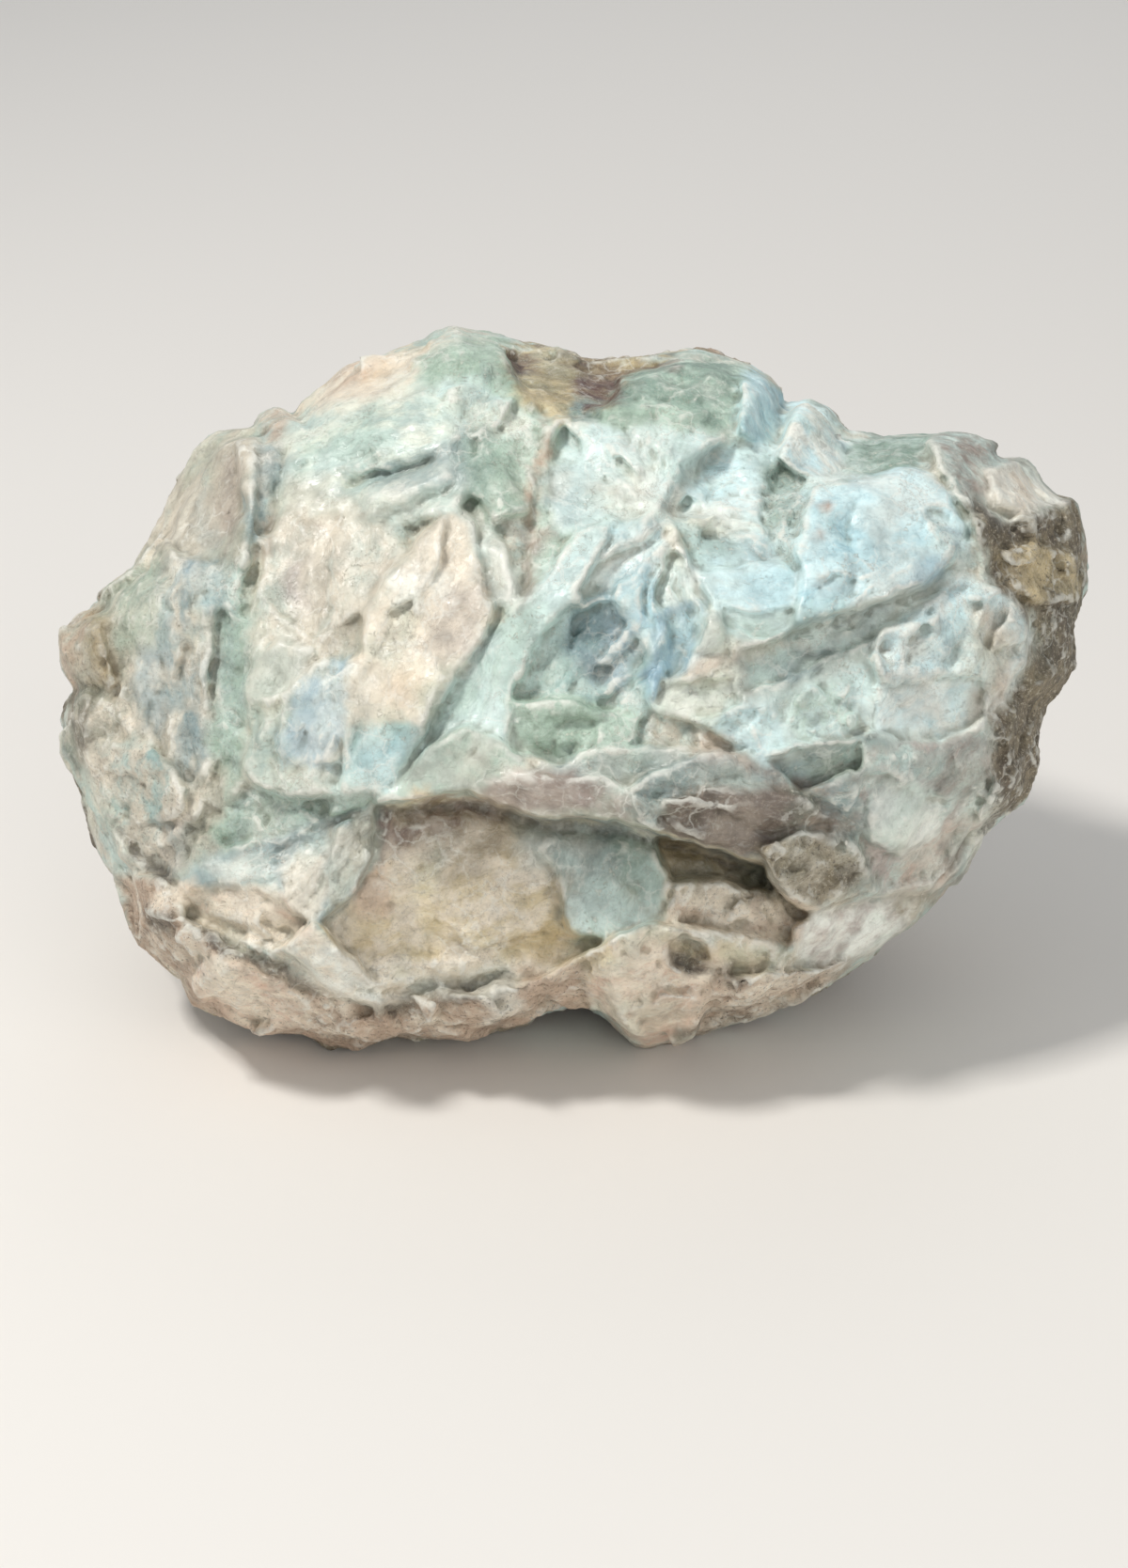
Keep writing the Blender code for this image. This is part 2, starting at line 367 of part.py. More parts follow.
# Chips off the hidden side: (name, way it faces as right, up and back, distance from the heart in mm)
CHIPS = [
    ("back", (0.10, 0.10, 1.0), 29.0),
    ("upper back", (-0.10, 0.75, 0.70), 34.0),
    ("lower back", (0.12, -0.30, 0.95), 33.5),
    ("left back", (-0.85, 0.05, 0.65), 43.0),
    ("right back", (0.90, 0.15, 0.55), 45.5),
    ("upper left back", (-0.55, 0.60, 0.65), 36.0),
    ("lower right back", (0.62, -0.40, 0.70), 38.0),
    ("lower left back", (-0.55, -0.50, 0.65), 38.0),
    ("upper right back", (0.55, 0.62, 0.62), 37.0),
    ("underside", (0.0, -0.906, 0.423), 32.4),
    ("left underside", (-0.42, -0.85, 0.33), 36.5),
    ("right underside", (0.45, -0.84, 0.30), 37.0),
]

# Swellings on the hidden side: (name, height in mm, reach in mm, middle as right, up and back)
HIDDEN_LUMPS = [
    ("rear foot", 2.4, 11.0, (6.0, -23.0, 27.0)),
    ("left heel", 1.2, 9.0, (-22.0, -27.0, 12.0)),
    ("back boss", 2.5, 12.0, (-20.0, 8.0, 28.0)),
    ("back boss right", 2.0, 13.0, (26.0, 2.0, 26.0)),
    ("back dip", -2.2, 11.0, (4.0, 4.0, 32.0)),
    ("back dip left", -1.8, 9.0, (-38.0, -4.0, 18.0)),
]


def smooth_step(values, low, high):
    """0 below low, 1 above high, and a soft S between."""
    share = np.clip((values - low) / (high - low), 0.0, 1.0)
    return share * share * (3.0 - 2.0 * share)


def noise_field(points, size, octaves, shift=0.0):
    """Fractal noise, about -1 to 1, whose largest lumps are size across. Points and size share a unit."""
    scaled = points / size + shift
    return np.array([noise.fractal(Vector(p), 0.9, 2.1, octaves) for p in scaled])


def hackle_field(points, size, shift=0.0):
    """Small tilted planes, one to a cell, as on a rough break. The result is about -1 to 1."""
    found = np.empty(len(points))
    for i, p in enumerate(points / size + shift):
        cell = noise.voronoi(Vector(p))[1][0]
        tilt = noise.noise_vector(cell * 7.3)
        found[i] = 3.2 * tilt.dot(Vector(p) - cell) + 0.4 * noise.noise(cell * 5.1)
    return np.where(found < 0.0, 0.4 * np.tanh(found / 0.4), found)


def outline_radius():
    """The outline's angle and radius about the heart, sorted and closed, and a smoothed radius."""
    offset = (np.array(OUTLINE, float) - HEART) * (SKETCH_UNIT, -SKETCH_UNIT)
    angle = np.arctan2(offset[:, 1], offset[:, 0])
    radius = np.hypot(offset[:, 0], offset[:, 1])
    order = np.argsort(angle)
    angle, radius = angle[order], radius[order]
    grid = np.linspace(-math.pi, math.pi, 721)
    sharp = np.interp(grid, angle, radius, period=2 * math.pi)
    reach = np.arange(-48, 49)
    weights = np.exp(-((reach / 20.0) ** 2))
    smooth = sum(w * np.roll(sharp[:-1], r) for w, r in zip(weights, reach)) / weights.sum()
    return grid, sharp, np.append(smooth, smooth[0])


GRID, SHARP, SMOOTH = outline_radius()


def plain_depth(x, y):
    """Depth of the plain rounded face under sketch points, in mm towards the viewer."""
    across = (x - HEART[0]) * SKETCH_UNIT
    up = (HEART[1] - y) * SKETCH_UNIT
    limit = np.interp(np.arctan2(up, across), GRID, SHARP)
    inside = np.clip(np.hypot(across, up) / limit, 0.0, 1.0)
    return FACE_DEPTH * np.sqrt(1.0 - inside**2) ** 0.8


def edges_of(line, closed):
    ends = line[1:] + line[:1] if closed else line[1:]
    starts = line if closed else line[:-1]
    return list(zip(starts, ends))


def walk(x, y, line, closed=False):
    """(distance, side, share of the way) of sketch points to a line. Side is 1 on its left, as drawn."""
    nearest = np.full(len(x), 1e9)
    side = np.ones(len(x))
    share = np.zeros(len(x))
    edges = edges_of(line, closed)
    lengths = [math.dist(a, b) for a, b in edges]
    walked = 0.0
    for (a, b), length in zip(edges, lengths):
        dx, dy = (b[0] - a[0]) / length, (b[1] - a[1]) / length
        along = np.clip((x - a[0]) * dx + (y - a[1]) * dy, 0.0, length)
        off_x, off_y = x - a[0] - along * dx, y - a[1] - along * dy
        distance = np.hypot(off_x, off_y)
        closer = distance < nearest
        nearest[closer] = distance[closer]
        turn = dx * (y - a[1]) - dy * (x - a[0])
        side[closer] = np.where(turn[closer] <= 0, 1.0, -1.0)
        share[closer] = (walked + along[closer]) / sum(lengths)
        walked += length
    return nearest * SKETCH_UNIT, side, share


def inside_of(x, y, corners):
    """Signed distance in mm from sketch points to a closed shape, positive inside."""
    nearest, _, _ = walk(x, y, corners, closed=True)
    odd = np.zeros(len(x), bool)
    for (ax, ay), (bx, by) in edges_of(corners, True):
        crosses = (ay > y) != (by > y)
        with np.errstate(divide="ignore", invalid="ignore"):
            at = ax + (y - ay) * (bx - ax) / (by - ay)
        odd ^= crosses & (x < at)
    return np.where(odd, nearest, -nearest)


def near(x, y, points, margin):
    """Which sketch points lie within margin mm of the box round some points."""
    box = np.array(points, float)
    low, high = box.min(0) - margin / SKETCH_UNIT, box.max(0) + margin / SKETCH_UNIT
    return np.flatnonzero((x > low[0]) & (x < high[0]) & (y > low[1]) & (y < high[1]))


def facets(x, y, kind, way, number):
    """The small broken planes of one kind of surface, in mm, with their grain lying along way."""
    cell, stretch, height = KINDS[kind]
    c, s = math.cos(math.radians(way)), math.sin(math.radians(way))
    along = (x * c - y * s) * SKETCH_UNIT / (cell * stretch)
    across = (x * s + y * c) * SKETCH_UNIT / cell
    places = np.stack([along, across, np.zeros(len(x))], axis=1)
    coarse = hackle_field(places, 1.0, 3.7 * number)
    fine = hackle_field(places, 0.45, 1.9 * number)
    return height * (coarse + 0.35 * fine)


def add_breaks(x, y, depth, detail):
    """Lays the planes of the breaks into depth, and their small facets into detail."""
    detail += facets(x, y, "sugar", 45, 0)
    for number, (_, kind, way, lift, right, up, edge, corners) in enumerate(BREAKS, 1):
        at = near(x, y, corners, edge)
        middle = np.mean(corners, axis=0)
        step = 20.0
        here = plain_depth(*middle)
        slope_x = (plain_depth(middle[0] + step, middle[1]) - here) / step
        slope_y = (plain_depth(middle[0], middle[1] + step) - here) / step
        dx, dy = x[at] - middle[0], y[at] - middle[1]
        plane = here + lift + slope_x * dx + slope_y * dy
        plane += (right * dx - up * dy) * SKETCH_UNIT
        share = smooth_step(inside_of(x[at], y[at], corners), -edge / 2, edge / 2)
        depth[at] += share * (plane - depth[at])
        detail[at] += share * (facets(x[at], y[at], kind, way, number) - detail[at])


def add_ledges(x, y, depth):
    for _, height, reach, line in LEDGES:
        at = near(x, y, line, 4 * reach)
        distance, side, share = walk(x[at], y[at], line)
        ends = smooth_step(np.minimum(share, 1 - share), 0.0, 0.08)
        fade = np.exp(-distance / reach) * ends
        depth[at] += 0.5 * height * side * fade * smooth_step(distance, 0.0, 0.35)


def add_creases(x, y, depth):
    for _, height, reach, line in CREASES:
        at = near(x, y, line, 5 * reach)
        distance, _, share = walk(x[at], y[at], line)
        ends = smooth_step(np.minimum(share, 1 - share), -0.02, 0.15)
        depth[at] += height * np.exp(-((distance / reach) ** 1.5)) * ends


def add_lumps(x, y, depth):
    for _, height, middle, wide, high, turn in LUMPS:
        c, s = math.cos(math.radians(turn)), math.sin(math.radians(turn))
        dx, dy = x - middle[0], middle[1] - y
        along, across = dx * c + dy * s, dy * c - dx * s
        depth += height * np.exp(-((along / wide) ** 2 + (across / high) ** 2) * 1.4)


def in_fan(x, y, fan):
    """(radius in mm, angle as a share of a turn, 0 to 1 share of the fan) of sketch points."""
    _, _, reach, _, start, end, hub = fan
    across, up = (x - hub[0]) * SKETCH_UNIT, (hub[1] - y) * SKETCH_UNIT
    radius = np.hypot(across, up)
    middle, half = (start + end) / 2, (end - start) / 2
    turn = np.degrees(np.arctan2(up, across)) - middle
    turn = (turn + 180.0) % 360.0 - 180.0
    share = smooth_step(half - np.abs(turn), 0.0, 12.0) * smooth_step(radius, 0.5, 3.0)
    return radius, turn / 360.0, share * smooth_step(reach - radius, 0.0, 0.4 * reach)


def add_fans(x, y, depth):
    for number, fan in enumerate(FANS):
        height, count = fan[1], fan[3]
        radius, turn, share = in_fan(x, y, fan)
        at = np.flatnonzero(share)
        ground = np.stack([x[at], y[at], np.full(len(at), 40.0 * number)], axis=1)
        place = turn[at] * count + 0.6 * noise_field(ground, 60.0, 3, 6.6)
        blade = np.floor(place)
        tall = 0.5 + 0.5 * np.sin(blade * 12.9 + number)
        depth[at] += height * tall * (place - blade - 0.5) * share[at]


def chip(places, share):
    """Cuts the hidden side back to the chip planes. Places are right, up and back from the heart."""
    rough = 1.2 * noise_field(places, 14.0, 3, 3.1)
    for _, way, distance in CHIPS:
        way = np.array(way) / np.linalg.norm(way)
        over = places @ way - distance - rough
        places -= np.outer(np.maximum(over, 0.0) * 0.92 * share, way)
    for _, height, reach, middle in HIDDEN_LUMPS:
        bump = height * np.exp(-np.sum((places - middle) ** 2, axis=1) / reach**2)
        places += places * (bump / np.linalg.norm(places, axis=1))[:, None]
    return places


def sculpt(directions):
    """Sends unit directions (right, up, towards the viewer) to sketch x, sketch y and depth in mm."""
    right, up, front = directions.T
    angle = np.arctan2(up, right)
    rim = np.exp(-((front / 0.33) ** 2))
    sharp, smooth = np.interp(angle, GRID, SHARP), np.interp(angle, GRID, SMOOTH)
    radius = np.where(front > 0, sharp, smooth + rim * (sharp - smooth))
    places = np.stack([right, up, np.zeros(len(right))], axis=1) * radius[:, None]
    x = HEART[0] + places[:, 0] / SKETCH_UNIT
    y = HEART[1] - places[:, 1] / SKETCH_UNIT

    face = front > 0
    depth = np.where(face, FACE_DEPTH * np.abs(front) ** 0.8, -BACK_DEPTH * np.abs(front) ** 0.75)
    plain = depth.copy()
    ground = np.stack([x, y, np.zeros(len(x))], axis=1)
    warp_x = x + 9.0 * noise_field(ground, 70.0, 5, 1.7)
    warp_y = y + 9.0 * noise_field(ground, 70.0, 5, 8.2)
    carved = depth.copy()
    detail = np.zeros(len(x))
    add_breaks(warp_x, warp_y, carved, detail)
    rise = carved - plain
    proud = rise > PROUD
    rise[proud] = PROUD + PROUD * np.tanh((rise[proud] - PROUD) / PROUD)
    for add in (add_fans, add_lumps, add_ledges, add_creases):
        add(warp_x, warp_y, detail)
    hold = smooth_step(front, 0.0, 0.30)
    depth += hold * (rise + detail)

    back = ~face
    hidden = np.stack([places[back, 0], places[back, 1], -depth[back]], axis=1)
    hidden = chip(hidden, smooth_step(-front[back], 0.0, 0.22))
    places[back, :2] = hidden[:, :2]
    depth[back] = -hidden[:, 2]
    places[:, 2] = depth
    coarse = hackle_field(places, 11.0, 4.4)
    rough = 1.0 * hackle_field(places, 6.0, 2.3) + 0.4 * hackle_field(places, 2.8, 6.1)
    rough *= (1.0 - hold) * (0.35 + 0.65 * smooth_step(-front, 0.0, 0.3))
    rough += 1.5 * coarse * smooth_step(-front, 0.0, 0.4)
    rough += 4.0 * hold * (1.0 - hold) * (1.5 * coarse - 0.6)
    places *= (1.0 + rough / np.linalg.norm(places, axis=1))[:, None]
    x = HEART[0] + places[:, 0] / SKETCH_UNIT
    y = HEART[1] - places[:, 1] / SKETCH_UNIT
    depth = places[:, 2] + RIM_LEAN * (y - HEART[1]) * SKETCH_UNIT
    return x, y, depth


def stand(x, y, depth):
    """Places sketch points and depths in the stone's own frame, in metres, leaned back as it lies."""
    shrink = 1.0 - depth / EYE_DISTANCE
    across = (x - SKETCH_MIDDLE[0]) * SKETCH_UNIT * shrink
    up = (SKETCH_MIDDLE[1] - y) * SKETCH_UNIT * shrink
    lean = math.radians(LEAN_DEGREES)
    c, s = math.cos(lean), math.sin(lean)
    return np.stack(
        [across - MIDDLE_X, up * s - depth * c - MIDDLE_Y, up * c + depth * s + REST_HEIGHT], axis=1
    ) * MM


def clear_scene():
    for old in list(bpy.data.objects):
        bpy.data.objects.remove(old)


def make_material():
    material = bpy.data.materials.new("larimar")
    material.use_nodes = True
    shader = material.node_tree.nodes["Principled BSDF"]
    shader.inputs["Base Color"].default_value = (0.55, 0.68, 0.66, 1.0)
    shader.inputs["Roughness"].default_value = 0.6
    shader.inputs["Metallic"].default_value = 0.0
    return material


def drop_bubbles(mesh):
    """Keeps only the largest of the separate shells that evening out a rough form can leave."""
    bm = bmesh.new()
    bm.from_mesh(mesh)
    left = set(bm.verts)
    shells = []
    while left:
        shell = set()
        edge = {left.pop()}
        while edge:
            shell |= edge
            edge = {e.other_vert(v) for v in edge for e in v.link_edges} - shell
        left -= shell
        shells.append(shell)
    shells.sort(key=len)
    for shell in shells[:-1]:
        bmesh.ops.delete(bm, geom=list(shell), context="VERTS")
    bm.to_mesh(mesh)
    bm.free()


def make_stone(collection, subdivisions=8):
    """The lump itself: a sphere sent through the sculpting and then made of even cells."""
    bpy.ops.mesh.primitive_ico_sphere_add(subdivisions=subdivisions, radius=1.0)
    stone = bpy.context.active_object
    stone.name = stone.data.name = "larimar"
    for old in list(stone.users_collection):
        old.objects.unlink(stone)
    collection.objects.link(stone)
    co = np.empty(len(stone.data.vertices) * 3)
    stone.data.vertices.foreach_get("co", co)
    directions = co.reshape(-1, 3)
    directions /= np.linalg.norm(directions, axis=1)[:, None]
    stone.data.vertices.foreach_set("co", stand(*sculpt(directions)).ravel())
    stone.data.materials.append(make_material())
    even = stone.modifiers.new("even cells", "REMESH")
    even.mode = "VOXEL"
    even.voxel_size = FORM_CELL * MM
    bpy.context.view_layer.update()
    graph = bpy.context.evaluated_depsgraph_get()
    rough = stone.data
    stone.data = bpy.data.meshes.new_from_object(stone.evaluated_get(graph))
    stone.modifiers.clear()
    bpy.data.meshes.remove(rough)
    stone.data.name = "larimar"
    drop_bubbles(stone.data)
    return stone


def thin(stone):
    """Keeps the form in about SOLID_TRIANGLES triangles."""
    stone.data.calc_loop_triangles()
    fewer = stone.modifiers.new("flat facets", "DECIMATE")
    fewer.ratio = SOLID_TRIANGLES / len(stone.data.loop_triangles)
    fewer.use_collapse_triangulate = True


def cut_flat(stone, cutters):
    """Cuts the underside off at the ground."""
    bpy.ops.mesh.primitive_cube_add(size=0.2, location=(0.0, 0.0, -0.1))
    block = bpy.context.active_object
    block.name = "ground block"
    for old in list(block.users_collection):
        old.objects.unlink(block)
    cutters.objects.link(block)
    block.hide_render = True
    block.display_type = "WIRE"
    rest = stone.modifiers.new("rest", "BOOLEAN")
    rest.operation = "DIFFERENCE"
    rest.object = block


def main():
    clear_scene()
    parts = bpy.data.collections.new("rough larimar")
    cutters = bpy.data.collections.new("cutters")
    bpy.context.scene.collection.children.link(parts)
    bpy.context.scene.collection.children.link(cutters)
    stone = make_stone(parts)
    thin(stone)
    cut_flat(stone, cutters)
    bpy.context.view_layer.update()


if __name__ == "__main__":
    main()
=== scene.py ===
"""Rough larimar, dressed: the broken face in its own colours, standing on a plain pale floor.

The stone is drawn as it is seen from its show side. Its outline and the marks on its face are sketch
points in tenths of a millimetre, x to the right and y down. A sphere is pushed out to that outline, its
face gets the breaks, needle fans, ledges, cracks and lumps, and its hidden side is chipped by planes.
The result is made of even cells, roughened, coloured patch by patch and leaned back as the stone lies. Part of that
colour is painted shade: dark patches under the great lip and along cracks, and darkening in creases and hollows.
"""

import math

import bmesh
import bpy
import numpy as np
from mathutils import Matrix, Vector, noise


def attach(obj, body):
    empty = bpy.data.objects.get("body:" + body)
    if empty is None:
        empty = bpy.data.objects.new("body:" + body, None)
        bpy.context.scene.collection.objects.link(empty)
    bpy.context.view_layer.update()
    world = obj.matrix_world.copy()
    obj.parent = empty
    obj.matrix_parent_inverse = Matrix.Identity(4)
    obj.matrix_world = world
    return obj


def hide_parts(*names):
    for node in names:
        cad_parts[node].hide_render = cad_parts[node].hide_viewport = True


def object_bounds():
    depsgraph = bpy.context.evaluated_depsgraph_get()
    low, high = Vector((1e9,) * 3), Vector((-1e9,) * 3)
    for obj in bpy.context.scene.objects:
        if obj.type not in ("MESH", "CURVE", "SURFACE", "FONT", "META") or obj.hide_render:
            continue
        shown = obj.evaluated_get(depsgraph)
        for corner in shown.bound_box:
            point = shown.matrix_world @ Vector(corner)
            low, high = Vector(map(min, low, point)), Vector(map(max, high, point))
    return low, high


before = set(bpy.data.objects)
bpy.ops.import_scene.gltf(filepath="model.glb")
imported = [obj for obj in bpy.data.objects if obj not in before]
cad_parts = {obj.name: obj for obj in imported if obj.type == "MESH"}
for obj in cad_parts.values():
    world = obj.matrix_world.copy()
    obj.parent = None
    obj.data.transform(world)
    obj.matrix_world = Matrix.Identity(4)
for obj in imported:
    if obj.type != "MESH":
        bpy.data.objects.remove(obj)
cad_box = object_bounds()

MM = 0.001

# Driving sizes, in millimetres unless a name says otherwise
SKETCH_UNIT = 0.1
SKETCH_MIDDLE = (600, 834)
HEART = (610, 735)
FACE_DEPTH = 29.0
BACK_DEPTH = 37.0
RIM_LEAN = 0.08
PROUD = 1.5
LEAN_DEGREES = 25.0
EYE_DISTANCE = 330.0
REST_HEIGHT = 24.3
MIDDLE_X = 1.05
MIDDLE_Y = 6.22
FINE_CELL = 0.33
MOST_TRIANGLES = 196000
SENSOR = 36.0
PHOTO_HEIGHT = 1668

# The same seed gives the same facets each time
noise.seed_set(7)

# The stone's outline from the show side, clockwise from the knob at its left end
OUTLINE = [
    (64, 690), (70, 668), (85, 655), (100, 648), (108, 628), (120, 618), (143, 603), (155, 583),
    (170, 560), (176, 538), (195, 505), (205, 483), (225, 462), (245, 456), (268, 455), (278, 440),
    (292, 433), (305, 436), (313, 443), (320, 430), (345, 408), (365, 392), (400, 380), (445, 366),
    (462, 354), (482, 348), (500, 353), (525, 356), (560, 366), (600, 372), (620, 382), (633, 386),
    (660, 383), (715, 378), (728, 374), (742, 374), (770, 382), (800, 390), (818, 400), (830, 415),
    (833, 430), (845, 430), (860, 426), (880, 435), (900, 458), (940, 465), (985, 463), (1010, 460),
    (1030, 465), (1048, 475), (1063, 488), (1090, 488), (1098, 498), (1112, 515), (1128, 528),
    (1143, 530), (1147, 550), (1154, 575), (1156, 600), (1159, 618), (1150, 645), (1143, 665),
    (1142, 712), (1125, 735), (1110, 750), (1104, 775), (1100, 800), (1097, 820), (1095, 840),
    (1085, 855), (1065, 870), (1045, 890), (1035, 905), (1025, 925), (1005, 948), (985, 965),
    (965, 985), (940, 1005), (920, 1022), (885, 1045), (850, 1065), (820, 1078), (780, 1088),
    (740, 1100), (710, 1110), (688, 1115), (672, 1110), (655, 1095), (640, 1078), (620, 1067),
    (600, 1070), (575, 1078), (560, 1088), (530, 1097), (500, 1103), (450, 1105), (425, 1103),
    (400, 1108), (380, 1117), (355, 1112), (325, 1100), (280, 1098), (240, 1085), (205, 1065),
    (190, 1040), (170, 1025), (150, 1005), (140, 985), (133, 960), (128, 940), (112, 920),
    (100, 895), (92, 870), (88, 840), (78, 820), (68, 800), (70, 780), (65, 765), (72, 745),
    (80, 733), (70, 715),
]

# How a kind of broken surface looks: cell in mm, stretch along its grain, and height of its facets in mm
KINDS = {
    "smooth": (7.0, 1.8, 0.60),
    "blade": (3.8, 3.2, 1.10),
    "sugar": (3.6, 1.4, 1.05),
    "rock": (3.8, 1.3, 1.50),
}

